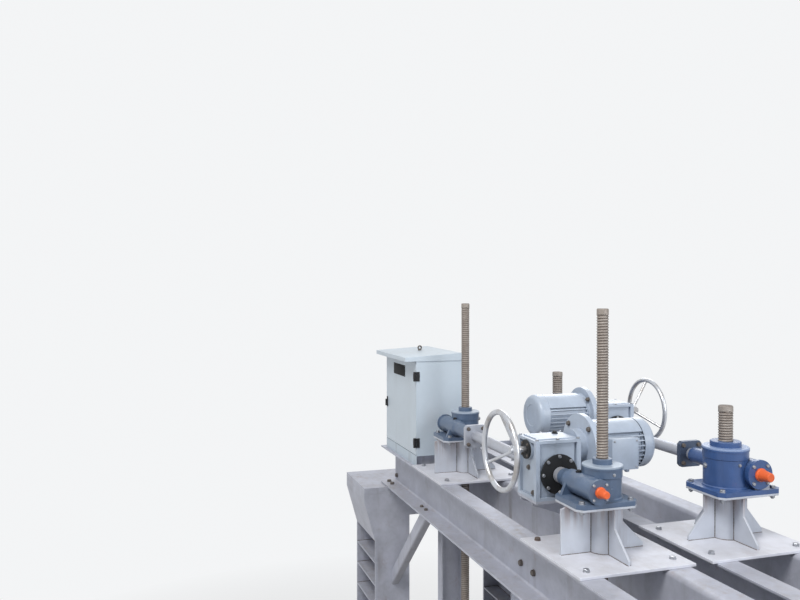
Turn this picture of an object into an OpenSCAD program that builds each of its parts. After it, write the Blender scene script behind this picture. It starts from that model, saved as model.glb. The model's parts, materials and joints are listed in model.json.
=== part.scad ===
// Double sluice gate: one bay with two lift gates, one behind the other.
// Four bent channel beams run along X from pier to pier, in two pairs.
// Each pair carries two screw jacks, a worm gearbox with motor and handwheel,
// and a cross shaft. The rear hoist is the front one turned half round about Z.
// Origin: centre of the bay on the floor. +X nearer pier, +Y rear gate, +Z up.

/* [Bay] */
// Height of the jack base plates above the floor
deck_height = 3000; // [2860:10:3400]
// Distance along X between the two stems of one gate
stem_spacing = 1800; // [1740:10:1840]
// Distance along Y between the front and the rear gate
gate_spacing = 750; // [740:5:800]
// Length of the carrying beams
beam_length = 4120; // [4100:10:4300]
// How far the front gate stands open
front_lift = 520; // [100:10:900]

/* [Beams] */
// Depth of a bent channel beam
beam_h = 320; // [280:5:340]
// Width of its flanges
beam_flange = 140; // [120:5:150]
// Plate thickness of the beam
beam_t = 12; // [8:1:16]
// Outside bend radius of the beam
beam_bend = 26; // [20:1:40]
// Clear gap between the two webs of a pair
web_gap = 320; // [300:5:340]

/* [Piers] */
// Depth of a column along X
column_depth = 620; // [560:10:660]
// Flange width of a column along Y
column_width = 300; // [260:10:320]
// Flange thickness of a column
column_flange_t = 16; // [12:1:25]
// Web thickness of a column
column_web_t = 12; // [10:1:20]
// Distance from the bay centre line to the column centre along Y
column_offset = 625; // [600:5:640]
// Beam length that bears on a pier
beam_bearing = 170; // [150:5:180]
// Distance between the stiffeners of a column
stiffener_pitch = 190; // [160:10:260]
// Thickness of the stiffeners
stiffener_t = 12; // [8:1:16]
// Thickness of the crosshead plate
crosshead_t = 50; // [40:1:60]
// Length of the crosshead plate along Y
crosshead_length = 1740; // [1700:10:1800]
// Depth of the crosshead girder between the columns
girder_h = 200; // [160:10:260]
// Plate thickness of the girder
girder_t = 14; // [10:1:20]
// Height of the flared haunch under the crosshead tip
haunch_h = 400; // [300:10:500]
// Width of the foot plate beyond the column flanges
foot_margin = 40; // [36:1:60]
// Width of the foot plate beyond the column sides
foot_side_margin = 50; // [46:1:60]
// Thickness of the foot plate
foot_t = 25; // [20:1:35]
// Radius of an anchor hole
anchor_r = 13; // [9:0.5:14]
// Distance of an anchor hole from the edge of the foot plate
anchor_inset = 22; // [18:1:24]
// Thickness of the diaphragm that closes the end of a beam pair
diaphragm_t = 12; // [8:1:16]
// Setback of the diaphragm from the beam ends
diaphragm_inset = 20; // [10:1:40]

/* [Knee braces] */
// Horizontal reach of a brace from the column face
brace_run = 820; // [600:10:900]
// Height of the brace foot below the beam
brace_rise = 760; // [600:10:900]
// Depth of the brace channel
brace_h = 100; // [80:5:120]
// Width of the brace channel
brace_b = 60; // [50:5:70]
// Plate thickness of the brace
brace_t = 8; // [6:1:10]

/* [Jack plates and pedestals] */
// Length of a jack base plate along X
plate_length = 600; // [520:10:620]
// How far the plate overhangs the outer beam
plate_overhang = 5; // [0:1:15]
// How far the plate overhangs the inner beam
plate_reach = 28; // [10:1:35]
// Thickness of the plate
plate_t = 15; // [10:1:20]
// Height of a pedestal from plate to jack
pedestal_h = 250; // [240:2:256]
// Thickness of the pedestal head plate
pedestal_head_t = 12; // [8:1:16]
// Outside diameter of the pedestal tube under a front jack
front_tube_d = 136; // [124:2:140]
// Outside diameter of the pedestal tube under a rear jack
rear_tube_d = 142; // [130:2:150]
// Wall of the pedestal tubes
tube_wall = 8; // [5:0.5:12]
// Reach of a gusset foot from the stem axis
gusset_reach = 235; // [200:5:260]
// Height at which the sloping edge of a gusset ends
gusset_shoulder = 140; // [110:5:160]
// Thickness of the gussets
gusset_t = 12; // [8:1:16]
// Height of the blunt toe of a gusset
gusset_toe = 22; // [15:1:30]
// Reach of the square gusset under the worm housing
square_reach = 235; // [225:5:255]

/* [Jacks] */
// Barrel diameter of a front jack
front_barrel_d = 192; // [180:2:205]
// Barrel diameter of a rear jack
rear_barrel_d = 226; // [216:2:236]
// Side of the mounting flange of a front jack
front_flange = 260; // [250:5:280]
// Side of the mounting flange of a rear jack
rear_flange = 304; // [292:4:312]
// Reach of a front flange from the stem axis, under the worm
front_flange_reach = 208; // [200:2:216]
// Reach of a rear flange from the stem axis, under the worm
rear_flange_reach = 236; // [226:2:246]
// Corner cut of the mounting flanges
flange_cut = 28; // [20:1:40]
// Thickness of the mounting flanges
flange_t = 23; // [19:1:24]
// Height of a front barrel above its flange
front_barrel_h = 165; // [155:1:180]
// Height of a rear barrel above its flange
rear_barrel_h = 209; // [195:1:220]
// Overhang of the barrel's top disc
disc_lip = 6; // [4:1:12]
// Thickness of the top disc
disc_t = 18; // [12:1:24]
// Height of the collar round the stem
collar_h = 28; // [20:1:40]
// Wall of the collar round a front stem
front_collar_wall = 18; // [14:1:24]
// Wall of the collar round a rear stem
rear_collar_wall = 40; // [30:1:46]
// Height of the front worm axis above the plate
front_worm_z = 334; // [332:1:340]
// Height of the rear worm axis above the plate
rear_worm_z = 352; // [350:1:360]
// Distance of the front worm axis from the stem axis
front_worm_off = 102; // [98:1:110]
// Distance of the rear worm axis from the stem axis
rear_worm_off = 98; // [94:1:108]
// Diameter of a front worm housing
front_worm_d = 112; // [104:2:116]
// Diameter of a rear worm housing
rear_worm_d = 142; // [134:2:146]
// Length of the worm housing on each side of the stem
worm_reach = 128; // [115:1:140]
// How far the worm cover stands out beyond its housing all round
cover_lip = 6; // [4:0.5:7]
// Thickness of the worm cover
cover_t = 16; // [10:1:22]
// Diameter of the bearing nose towards the shaft
nose_d = 88; // [76:2:96]
// Distance from stem axis to the end of the long bearing nose
long_nose = 372; // [330:2:400]
// Distance from stem axis to the end of the short bearing nose
short_nose = 196; // [180:2:204]
// Diameter of a front shaft cap
front_cap_d = 56; // [48:1:64]
// Diameter of a rear shaft cap
rear_cap_d = 70; // [60:1:76]
// Length of a front shaft cap
front_cap_length = 60; // [50:1:70]
// Length of a rear shaft cap
rear_cap_length = 74; // [60:1:84]

/* [Gearboxes] */
// Distance along X from the stem to the centre of the front gearbox
front_gearbox_run = 364; // [356:2:400]
// Distance along X from the stem to the centre of the rear gearbox
rear_gearbox_run = 530; // [500:2:560]
// Length of the gearbox along X
gearbox_x = 236; // [220:2:250]
// Width of the gearbox along Y
gearbox_y = 268; // [250:2:276]
// Distance from the output shaft down to the gearbox underside
gearbox_drop = 138; // [130:1:142]
// Height of the gearbox
gearbox_h = 318; // [306:2:330]
// Height of the input shaft above the output shaft
input_rise = 120; // [116:1:124]
// Thickness of the gearbox foot and lid flanges
lid_t = 16; // [12:1:20]
// Setback of the gearbox walls behind its flanges
wall_setback = 14; // [10:1:18]
// Diameter of the round output cover
output_cover_d = 214; // [200:2:220]
// Thickness of the covers
gear_cover_t = 10; // [8:1:14]
// Diameter of the input bearing cover
input_cover_d = 104; // [90:2:112]
// Thickness of the shelf under the gearbox
shelf_t = 16; // [12:1:20]
// Thickness of the shelf brackets
bracket_t = 14; // [10:1:18]

/* [Motors] */
// Diameter of the motor flange
motor_flange_d = 350; // [330:2:356]
// Thickness of the gearbox and motor flanges together
motor_flange_t = 34; // [28:1:40]
// Diameter of the adapter between gearbox and flange
adapter_d = 190; // [170:5:200]
// Length of the adapter
adapter_length = 50; // [40:1:60]
// Core diameter of the motor
motor_core_d = 228; // [220:2:232]
// Height of the cooling fins
fin_h = 20; // [12:1:24]
// Thickness of the fins
fin_t = 4; // [3:0.5:6]
// Number of fins round the motor
fin_count = 36; // [24:4:44]
// Length of the finned body
motor_body = 256; // [250:2:300]
// Length of the fan cover
fan_cover = 116; // [100:2:130]
// Diameter of the fan cover
fan_cover_d = 276; // [272:2:284]
// Length of the terminal box along the motor
terminal_length = 160; // [130:5:180]
// Distance from the motor flange to the terminal box
terminal_setback = 60; // [50:2:80]
// Height of the terminal box
terminal_h = 165; // [140:5:180]
// How far the middle of the terminal box lies below the motor axis
terminal_drop = 22; // [0:1:40]
// Depth of the terminal box beyond the fins
terminal_depth = 52; // [45:1:70]

/* [Handwheels] */
// Outside diameter of a handwheel
wheel_d = 440; // [400:5:450]
// Diameter of the rim tube
rim_d = 30; // [24:1:34]
// Diameter of the spokes
spoke_d = 18; // [14:1:22]
// Distance of the front rim plane beyond the foot of the hub
front_dish = 110; // [80:2:120]
// Distance of the rear rim plane beyond the foot of the hub
rear_dish = 132; // [100:2:140]
// Length of bare shaft between the bearing cover and the hub
hub_standoff = 36; // [8:1:50]
// Diameter of the hub
hub_d = 56; // [46:1:64]
// Length of the hub
hub_length = 44; // [36:1:52]
// Diameter of the input shaft
input_shaft_d = 34; // [28:1:38]

/* [Drive shafts] */
// Diameter of the shaft
shaft_d = 36; // [30:1:40]
// Diameter of the torque tube
torque_tube_d = 68; // [60:1:76]
// Side of a square coupling flange
coupling_side = 150; // [130:2:160]
// Thickness of a coupling flange
coupling_t = 14; // [10:1:18]
// Diameter of the sleeve beside the gearbox
sleeve_d = 84; // [70:2:90]

/* [Stems] */
// Diameter of the front stems
front_stem_d = 60; // [50:1:64]
// Diameter of the rear stems
rear_stem_d = 76; // [66:1:80]
// Length of a stem above the gate
stem_length = 2360; // [2200:10:2500]

/* [Gates] */
// Width of a gate leaf
leaf_width = 2440; // [2400:10:2480]
// Height of a gate leaf
leaf_h = 1200; // [1100:10:1250]
// Depth of a gate leaf
leaf_depth = 140; // [120:5:160]
// Plate thickness of the leaf
leaf_t = 12; // [8:1:16]
// Number of bays between the horizontal ribs
rib_rows = 5; // [3:1:6]
// Distance from the end of the leaf to its inner end post
end_post = 70; // [60:1:90]
// Setback of the ribs behind the open side of the leaf
rib_setback = 24; // [15:1:40]
// Height of the rubber bottom seal
seal_h = 20; // [15:1:30]
// Width of the rubber bottom seal
seal_w = 60; // [40:2:80]
// Outside diameter of a stem socket
socket_d = 116; // [108:2:130]
// Height of a stem socket
socket_h = 110; // [80:5:140]
// Thickness of the plate under a socket
socket_plate_t = 16; // [12:1:20]

/* [Guides] */
// Height of the sill
sill_h = 100; // [80:5:120]
// Clear height of the water passage
passage_h = 1000; // [900:10:1050]
// Depth of a guide channel along X
guide_depth = 94; // [84:1:104]
// Wall of the guides, sill and lintel
guide_t = 12; // [8:1:16]
// Inside bend radius of the guides, sill and lintel
guide_inner_bend = 6; // [4:1:8]
// Height of the lintel
lintel_h = 150; // [120:5:180]
// Depth of the lintel along Y
lintel_depth = 60; // [50:1:64]
// Height of the bar that hangs a guide from the beams
head_bar_h = 60; // [50:1:70]

/* [Cabinet] */
// Length of the cabinet along X
cabinet_x = 780; // [700:10:800]
// Depth of the cabinet along Y
cabinet_y = 368; // [330:2:380]
// Height of the cabinet without its roof
cabinet_h = 716; // [640:4:760]
// Wall of the cabinet
cabinet_wall = 3; // [2:0.5:5]
// Height of the cross bars under the cabinet
plinth_h = 75; // [60:1:90]
// Height of the roof at the back
roof_back_h = 58; // [45:1:70]
// Height of the roof at its front edge
roof_front_h = 32; // [20:1:40]
// Setback of the cabinet front behind the edge of the outer beam
cabinet_setback = 28; // [0:1:40]
// Overhang of the roof over the door
roof_visor = 90; // [40:5:110]
// Overhang of the roof on the other sides
roof_lip = 6; // [2:1:12]
// Thickness of the door
door_t = 20; // [16:1:26]
// Radius of a hinge knuckle
knuckle_r = 11; // [10:0.5:13]
// Length of a hinge knuckle
knuckle_h = 46; // [36:1:56]
// Radius of a hinge pin
hinge_pin_r = 4; // [3:0.5:5]

/* [Clearances] */
// Radial clearance of a shaft or stem in its bore
bore_play = 1; // [0.5:0.1:2]
// Radial gap round a stem in the plate and pedestal head below its jack
head_gap = 4; // [3:0.5:6]
// Gap between pieces that turn past each other
turn_gap = 6; // [5:0.5:8]
// Gap between the jack plates and what stands beside them
plate_gap = 5; // [3:1:10]
// Gap between a gate leaf and its guide
guide_gap = 8; // [6:1:12]
// Gap between the closed seal and the sill
seal_gap = 1; // [0.3:0.1:2]
// Gap round the cabinet door
door_gap = 5; // [5:0.5:7]

/* [Hidden] */
$fn = 64;
hair = 0.3;
sink = 1;
galvanised = "#b4b8c4";
galvanised_dark = "#9a9da8";
plate_grey = "#d2d6de";
jack_grey = "#6b7f99";
jack_blue = "#35549c";
gear_grey = "#b9c4d4";
wheel_steel = "#c9ccd2";
stem_steel = "#9b958d";
cap_orange = "#f0662a";
cover_black = "#15171c";
cabinet_white = "#cfdbe4";
seal_black = "#1d1d1f";

stem_x = stem_spacing / 2;
gate_y = gate_spacing / 2;
beam_top = deck_height - plate_t;
beam_bottom = beam_top - beam_h;
web_in = gate_y - web_gap / 2;
web_out = gate_y + web_gap / 2;
pair_half = web_gap / 2 + beam_flange;
pier_x = beam_length / 2 - beam_bearing + column_depth / 2;
column_top = beam_bottom - crosshead_t;
column_inner = pier_x - column_depth / 2;
foot_x = column_depth + 2 * foot_margin;
foot_y = column_width + 2 * foot_side_margin;
passage_top = sill_h + passage_h;
leaf_rest = sill_h + seal_gap + seal_h;
socket_seat = leaf_h + socket_plate_t;
guide_outer = leaf_width / 2 + guide_gap + guide_t;
guide_width = leaf_depth + 2 * (guide_gap + guide_t);
guide_bend = guide_t + guide_inner_bend;
sill_ledge = 20;
head_bar_bottom = beam_bottom - head_bar_h;
front_gear_x = stem_x - front_gearbox_run;
rear_gear_x = stem_x - rear_gearbox_run;
hub_gap = gear_cover_t + hub_standoff;
shaft_socket = 46;
input_socket = 60;
output_bore_r = shaft_d / 2 + bore_play;
input_bore_r = input_shaft_d / 2 + bore_play;
cabinet_near = -stem_x - plate_length / 2 - plate_gap;
cabinet_far = cabinet_near - cabinet_x;
cabinet_front = -gate_y - pair_half + cabinet_setback;
cabinet_z = beam_top + plinth_h;
hinge_x = cabinet_near - cabinet_wall - door_gap / 2;
hinge_y = cabinet_front - knuckle_r;
knuckle_leaf = 40;
hinge_lug = 12;
hinge_strap = 4;
hinge_strap_run = 26;
hinge_levels = [0.14, 0.84];

// Bent channel: web along +Y of the drawing, flanges towards +X
module channel_profile(h, b, t, r) {
    translate([0, r]) square([t, h - 2 * r]);
    for (end = [0, 1]) translate([0, end * h]) mirror([0, end]) {
        translate([r, 0]) square([b - r, t]);
        intersection() {
            translate([r, r]) difference() {
                circle(r = r);
                circle(r = r - t);
            }
            square([r, r]);
        }
    }
}

// Square outline with its four corners cut off
module cut_square(side, cut) {
    s = side / 2;
    c = s - cut;
    polygon([[-c, -s], [c, -s], [s, -c], [s, c], [c, s], [-c, s], [-s, c], [-s, -c]]);
}

// Jack flange outline: square about the stem, but drawn out on -Y to carry the worm housing
module flange_outline(half, reach) {
    inner = half - flange_cut;
    low = flange_cut - reach;
    polygon([[-inner, -reach], [inner, -reach], [half, low], [half, inner],
             [inner, half], [-inner, half], [-half, inner], [-half, low]]);
}

// Draws its children for the front hoist, or turned half round for the rear one
module hoist_side(rear) {
    rotate([0, 0, rear ? 180 : 0]) children();
}

module beam(web_y, side) {
    translate([0, web_y, beam_bottom]) mirror([0, side < 0 ? 1 : 0, 0])
        rotate([90, 0, 90]) linear_extrude(beam_length, center = true)
            channel_profile(beam_h, beam_flange, beam_t, beam_bend);
}

module beam_front_outer() { color(galvanised) beam(-web_out, -1); }
module beam_front_inner() { color(galvanised) beam(-web_in, 1); }
module beam_rear_inner() { color(galvanised) beam(web_in, -1); }
module beam_rear_outer() { color(galvanised) beam(web_out, 1); }

// Plates that close the gap between the webs at both ends of a pair
module pair_diaphragms() {
    color(galvanised_dark) for (x = [-1, 1], y = [-1, 1])
        translate([x * (beam_length / 2 - diaphragm_inset), y * gate_y, beam_bottom + beam_h / 2])
            cube([diaphragm_t, web_gap, beam_h - 2 * beam_bend], center = true);
}

// Crosshead plate on the column heads, with a girder hung between the columns
module crosshead() {
    inner = column_offset - column_width / 2;
    side_x = (column_depth - girder_t) / 2;
    translate([-column_depth / 2, -crosshead_length / 2, column_top])
        cube([column_depth, crosshead_length, crosshead_t]);
    for (x = [-side_x, side_x]) translate([x - girder_t / 2, -inner, column_top - girder_h])
        cube([girder_t, 2 * inner, girder_h]);
    translate([-column_depth / 2, -inner, column_top - girder_h])
        cube([column_depth, 2 * inner, girder_t]);
}

module crosshead_near() { color(galvanised) translate([pier_x, 0, 0]) crosshead(); }
module crosshead_far() { color(galvanised) translate([-pier_x, 0, 0]) crosshead(); }

// Stiffened H column on a foot plate, drawn for the front: its haunch flares to -Y
module column() {
    shaft_h = column_top - foot_t;
    recess = (column_width - column_web_t) / 2;
    clear_x = column_depth - 2 * column_flange_t;
    flange_x = (column_depth - column_flange_t) / 2;
    flare = crosshead_length / 2 - column_offset - column_width / 2;
    difference() {
        translate([-foot_x / 2, -foot_y / 2, 0]) cube([foot_x, foot_y, foot_t]);
        for (x = [-1, 1], y = [-1, 1])
            translate([x * (foot_x / 2 - anchor_inset), y * (foot_y / 2 - anchor_inset), -sink])
                cylinder(r = anchor_r, h = foot_t + 2 * sink);
    }
    for (x = [-flange_x, flange_x])
        translate([x - column_flange_t / 2, -column_width / 2, foot_t])
            cube([column_flange_t, column_width, shaft_h]);
    translate([-clear_x / 2, -column_web_t / 2, foot_t]) cube([clear_x, column_web_t, shaft_h]);
    for (z = [column_top - haunch_h : -stiffener_pitch : foot_t + stiffener_pitch / 2])
        for (y = [-column_width / 2, column_web_t / 2])
            translate([-clear_x / 2, y, z]) cube([clear_x, recess, stiffener_t]);
    translate([0, -column_width / 2, column_top]) haunch(flare);
}

// Flared haunch: two cheek plates in line with the column flanges and a sloping plate
module haunch(flare) {
    cheek_x = (column_depth - column_flange_t) / 2;
    for (x = [-cheek_x, cheek_x])
        translate([x - column_flange_t / 2, 0, 0]) rotate([90, 0, 90]) linear_extrude(column_flange_t)
            polygon([[0, 0], [-flare, 0], [-flare, -stiffener_pitch / 3], [0, -haunch_h]]);
    rotate([90, 0, 90]) linear_extrude(column_depth, center = true)
        polygon([[-flare, 0], [-flare, -stiffener_pitch / 3], [0, -haunch_h],
                 [0, -haunch_h + 3 * stiffener_t], [-flare + stiffener_t, -stiffener_pitch / 3],
                 [-flare + stiffener_t, 0]]);
}

module column_near_front() { color(galvanised) translate([pier_x, -column_offset, 0]) column(); }
module column_far_front() { color(galvanised) translate([-pier_x, -column_offset, 0]) column(); }
module column_near_rear() {
    color(galvanised) translate([pier_x, column_offset, 0]) mirror([0, 1, 0]) column();
}
module column_far_rear() {
    color(galvanised) translate([-pier_x, column_offset, 0]) mirror([0, 1, 0]) column();
}

// Sloping channels from the column faces up to the outer beams, cut off flush at both
module knee_braces() {
    slope = atan2(brace_rise, brace_run);
    length = sqrt(brace_rise * brace_rise + brace_run * brace_run) + 2 * brace_h;
    color(galvanised_dark) for (x = [0, 1], y = [-1, 1]) mirror([x, 0, 0])
        translate([column_inner, y * (gate_y + pair_half - beam_flange / 2) - brace_b / 2, beam_bottom])
            intersection() {
                translate([0, 0, -brace_rise]) rotate([0, slope - 180, 0])
                    translate([length / 2 - brace_h, 0, -brace_h / 2]) rotate([90, 0, 90])
                        linear_extrude(length, center = true)
                            channel_profile(brace_h, brace_b, brace_t, 2 * brace_t);
                translate([-2 * brace_run, -sink, -2 * brace_rise])
                    cube([2 * brace_run, brace_b + 2 * sink, 2 * brace_rise]);
            }
}

module jack_plates(stem_d) {
    y_out = pair_half + plate_overhang;
    plate_y = y_out + pair_half + plate_reach;
    for (x = [-1, 1]) translate([x * stem_x, -gate_y, beam_top]) difference() {
        translate([-plate_length / 2, -y_out, 0]) cube([plate_length, plate_y, plate_t]);
        translate([0, 0, -sink]) cylinder(r = stem_d / 2 + head_gap, h = plate_t + 2 * sink);
    }
}

module jack_plates_front() { color(plate_grey) hoist_side(false) jack_plates(front_stem_d); }
module jack_plates_rear() { color(plate_grey) hoist_side(true) jack_plates(rear_stem_d); }

// Pedestal: tube with a head plate and four gussets, square in front where the worm sits
module pedestal(rear) {
    tube_d = rear ? rear_tube_d : front_tube_d;
    half = (rear ? rear_flange : front_flange) / 2;
    reach = rear ? rear_flange_reach : front_flange_reach;
    shank = half - flange_cut / 2;
    body_h = pedestal_h - pedestal_head_t;
    root = tube_d / 4;
    difference() {
        union() {
            cylinder(d = tube_d, h = body_h);
            translate([0, 0, body_h]) linear_extrude(pedestal_head_t) flange_outline(half, reach);
            for (turn = [0 : 90 : 270]) rotate([0, 0, turn]) rotate([90, 0, 0])
                linear_extrude(gusset_t, center = true)
                    polygon(!rear && turn == 270
                        ? [[root, 0], [square_reach, 0], [square_reach, body_h - gusset_toe / 2],
                           [reach - flange_cut / 2, body_h], [root, body_h]]
                        : [[root, 0], [gusset_reach, 0], [gusset_reach, gusset_toe],
                           [shank, gusset_shoulder], [shank, body_h], [root, body_h]]);
        }
        translate([0, 0, -sink]) cylinder(r = tube_d / 2 - tube_wall, h = body_h + sink);
        translate([0, 0, -sink])
            cylinder(r = (rear ? rear_stem_d : front_stem_d) / 2 + head_gap, h = pedestal_h + 2 * sink);
    }
}

module pedestals(rear) {
    color(plate_grey) hoist_side(rear) for (x = [-1, 1]) translate([x * stem_x, -gate_y, deck_height])
        pedestal(rear);
}

module pedestals_front() { pedestals(false); }
module pedestals_rear() { pedestals(true); }

// Screw jack: barrel with top disc and collar, and the worm housing along X on the -Y side.
// The housing's cover faces +X, its bearing nose -X. A rib stiffens the nose end.
module jack(rear, nose) {
    r = (rear ? rear_barrel_d : front_barrel_d) / 2;
    half = (rear ? rear_flange : front_flange) / 2;
    reach = rear ? rear_flange_reach : front_flange_reach;
    worm_z = rear ? rear_worm_z : front_worm_z;
    worm_off = rear ? rear_worm_off : front_worm_off;
    worm_d = rear ? rear_worm_d : front_worm_d;
    z0 = pedestal_h;
    z1 = z0 + flange_t;
    z2 = z1 + (rear ? rear_barrel_h : front_barrel_h);
    band = 5;
    crown_h = 60;
    crown_lip = 3;
    bevel = 3;
    taper = 24;
    rib_t = 22;
    rib_foot = 26;
    saddle = worm_reach - rib_foot;
    bore_r = (rear ? rear_stem_d : front_stem_d) / 2 + bore_play;
    collar_r = bore_r + (rear ? rear_collar_wall : front_collar_wall);
    difference() {
        union() {
            translate([0, 0, z0]) linear_extrude(flange_t) flange_outline(half, reach);
            rotate_extrude() polygon([[0, z1 - sink], [r + band, z1 - sink], [r + band, z1 + band],
                [r, z1 + 2 * band], [r, z2 - crown_h], [r + crown_lip, z2 - crown_h + bevel],
                [r + crown_lip, z2 - disc_t], [r + disc_lip, z2 - disc_t], [r + disc_lip, z2 - bevel],
                [r + disc_lip - bevel, z2], [collar_r, z2], [collar_r, z2 + collar_h - bevel],
                [collar_r - bevel, z2 + collar_h], [0, z2 + collar_h]]);
            translate([0, -worm_off, worm_z]) rotate([0, 90, 0]) {
                translate([0, 0, -worm_reach]) cylinder(d = worm_d, h = 2 * worm_reach);
                translate([0, 0, worm_reach]) cylinder(r = worm_d / 2 + cover_lip, h = cover_t);
                translate([0, 0, -worm_reach - taper]) cylinder(d1 = nose_d, d2 = worm_d, h = taper);
                translate([0, 0, -nose]) cylinder(d = nose_d, h = nose - worm_reach);
            }
            translate([-saddle, -worm_off, z1 - sink]) cube([2 * saddle, worm_off, worm_z - z1 + sink]);
            translate([-saddle, 0, 0]) rotate([90, 0, 90]) linear_extrude(rib_t)
                polygon([[-worm_off, worm_z], [-worm_off - worm_d / 2 + sink, worm_z],
                         [-worm_off - worm_d / 2 - rib_foot, z1 - sink], [-worm_off, z1 - sink]]);
        }
        translate([0, 0, z0 - sink]) cylinder(r = bore_r, h = z2 + collar_h - z0 + 2 * sink);
        translate([-nose - sink, -worm_off, worm_z]) rotate([0, 90, 0])
            cylinder(r = output_bore_r, h = shaft_socket + sink);
    }
}

// Pair of jacks of one hoist; the far one is mirrored, so both noses face the gearbox
module jack_pair(rear) {
    hoist_side(rear) for (far = [0, 1]) mirror([far, 0, 0]) translate([stem_x, -gate_y, deck_height])
        jack(rear, far ? long_nose : short_nose);
}

module jacks_front() { color(jack_grey) jack_pair(false); }
module jacks_rear() { color(jack_blue) jack_pair(true); }

// Plastic caps over the free ends of the worm shafts
module cap_pair(rear) {
    r = (rear ? rear_cap_d : front_cap_d) / 2;
    length = rear ? rear_cap_length : front_cap_length;
    worm_off = rear ? rear_worm_off : front_worm_off;
    worm_z = rear ? rear_worm_z : front_worm_z;
    brim = 9;
    step = 4;
    tip_r = 2 * r / 3;
    color(cap_orange) hoist_side(rear) for (far = [0, 1]) mirror([far, 0, 0])
        translate([stem_x + worm_reach + cover_t, -gate_y - worm_off, deck_height + worm_z])
            rotate([0, 90, 0]) rotate_extrude()
                polygon([[0, 0], [r, 0], [r, brim], [r - step, brim + step], [tip_r, length - step],
                         [tip_r - step, length], [0, length]]);
}

module shaft_caps() {
    cap_pair(false);
    cap_pair(true);
}

// Worm gearbox at its own centre: x and y of the output shaft, z above the plate
module gearbox(worm_z) {
    gx = gearbox_x / 2 - gear_cover_t;
    gy = gearbox_y / 2;
    bottom = worm_z - gearbox_drop;
    top = bottom + gearbox_h;
    input_z = worm_z + input_rise;
    wx = gx - wall_setback;
    wy = gy - wall_setback;
    corner = 18;
    post = 24;
    pad_h = 6;
    ring = 10;
    difference() {
        union() {
            translate([-gx, -gy, bottom]) cube([2 * gx, 2 * gy, lid_t]);
            translate([-gx, -gy, top - lid_t]) cube([2 * gx, 2 * gy, lid_t]);
            translate([post - gx, post - gy, top]) cube([2 * (gx - post), 2 * (gy - post), pad_h]);
            translate([0, 0, bottom + lid_t]) linear_extrude(gearbox_h - 2 * lid_t)
                polygon([[-wx + corner, -wy], [wx - corner, -wy], [wx, -wy + corner], [wx, wy - corner],
                         [wx - corner, wy], [-wx + corner, wy], [-wx, wy - corner], [-wx, -wy + corner]]);
            for (x = [-gx, gx - post], y = [-gy, gy - post]) translate([x, y, bottom])
                cube([post, post, gearbox_h - sink]);
            translate([-gx, 0, worm_z]) rotate([0, 90, 0])
                cylinder(d = output_cover_d - 2 * ring, h = 2 * gx);
            translate([0, -gy, input_z]) rotate([-90, 0, 0])
                cylinder(d = input_cover_d + ring, h = 2 * gy);
            translate([0, gy - sink, input_z]) rotate([-90, 0, 0]) {
                cylinder(d = adapter_d, h = adapter_length + sink);
                translate([0, 0, adapter_length + sink])
                    cylinder(d = motor_flange_d, h = motor_flange_t / 2);
            }
        }
        translate([-gx - sink, 0, worm_z]) rotate([0, 90, 0])
            cylinder(r = output_bore_r, h = 2 * (gx + sink));
        translate([0, -gy - sink, input_z]) rotate([-90, 0, 0])
            cylinder(r = input_bore_r, h = input_socket + sink);
    }
}

module gearbox_place(gear_x, worm_off) {
    translate([gear_x, -gate_y - worm_off, deck_height]) children();
}

module gearbox_front() {
    color(gear_grey) gearbox_place(front_gear_x, front_worm_off) gearbox(front_worm_z);
}
module gearbox_rear() {
    color(gear_grey) hoist_side(true) gearbox_place(rear_gear_x, rear_worm_off) gearbox(rear_worm_z);
}

// Black bearing covers: two round output covers and one on the handwheel side
module gear_covers(worm_z) {
    gx = gearbox_x / 2 - gear_cover_t;
    through = gear_cover_t + 2 * sink;
    for (x = [0, 1]) mirror([x, 0, 0]) translate([gx, 0, worm_z]) rotate([0, 90, 0]) difference() {
        cylinder(d = output_cover_d, h = gear_cover_t);
        translate([0, 0, -sink]) cylinder(r = output_bore_r, h = through);
    }
    translate([0, -gearbox_y / 2 - gear_cover_t, worm_z + input_rise]) rotate([-90, 0, 0]) difference() {
        cylinder(d = input_cover_d, h = gear_cover_t);
        translate([0, 0, -sink]) cylinder(r = input_bore_r, h = through);
    }
}

module gearbox_covers() {
    color(cover_black) gearbox_place(front_gear_x, front_worm_off) gear_covers(front_worm_z);
    color(cover_black) hoist_side(true) gearbox_place(rear_gear_x, rear_worm_off) gear_covers(rear_worm_z);
}

// Shelf that carries the gearbox, on two brackets that stand on the inner beam of its pair
module gearbox_shelf(gear_x, worm_z, worm_off) {
    margin = 10;
    toe = 20;
    half = gearbox_x / 2 - gear_cover_t;
    y_in = -web_in + beam_flange - margin;
    y_web = -web_in + beam_bend / 2;
    y_out = -gate_y - worm_off - gearbox_y / 2;
    z0 = deck_height + worm_z - gearbox_drop - shelf_t;
    foot_top = beam_top + shelf_t;
    foot_far = gear_x - half;
    foot_near = min(gear_x + half, stem_x - plate_length / 2 - plate_gap);
    translate([foot_far, y_out, z0]) cube([2 * half, y_in - y_out, shelf_t]);
    translate([foot_far, y_web, beam_top]) cube([foot_near - foot_far, y_in - y_web, shelf_t]);
    for (x = [foot_far + margin, foot_near - margin - bracket_t]) translate([x, 0, 0])
        rotate([90, 0, 90]) linear_extrude(bracket_t)
            polygon([[y_in, foot_top], [y_in, z0], [y_out + margin, z0], [y_out + margin, z0 - toe],
                     [y_web, foot_top + toe], [y_web, foot_top]]);
}

module gearbox_shelf_front() {
    color(galvanised) gearbox_shelf(front_gear_x, front_worm_z, front_worm_off);
}
module gearbox_shelf_rear() {
    color(galvanised) hoist_side(true) gearbox_shelf(rear_gear_x, rear_worm_z, rear_worm_off);
}

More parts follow.
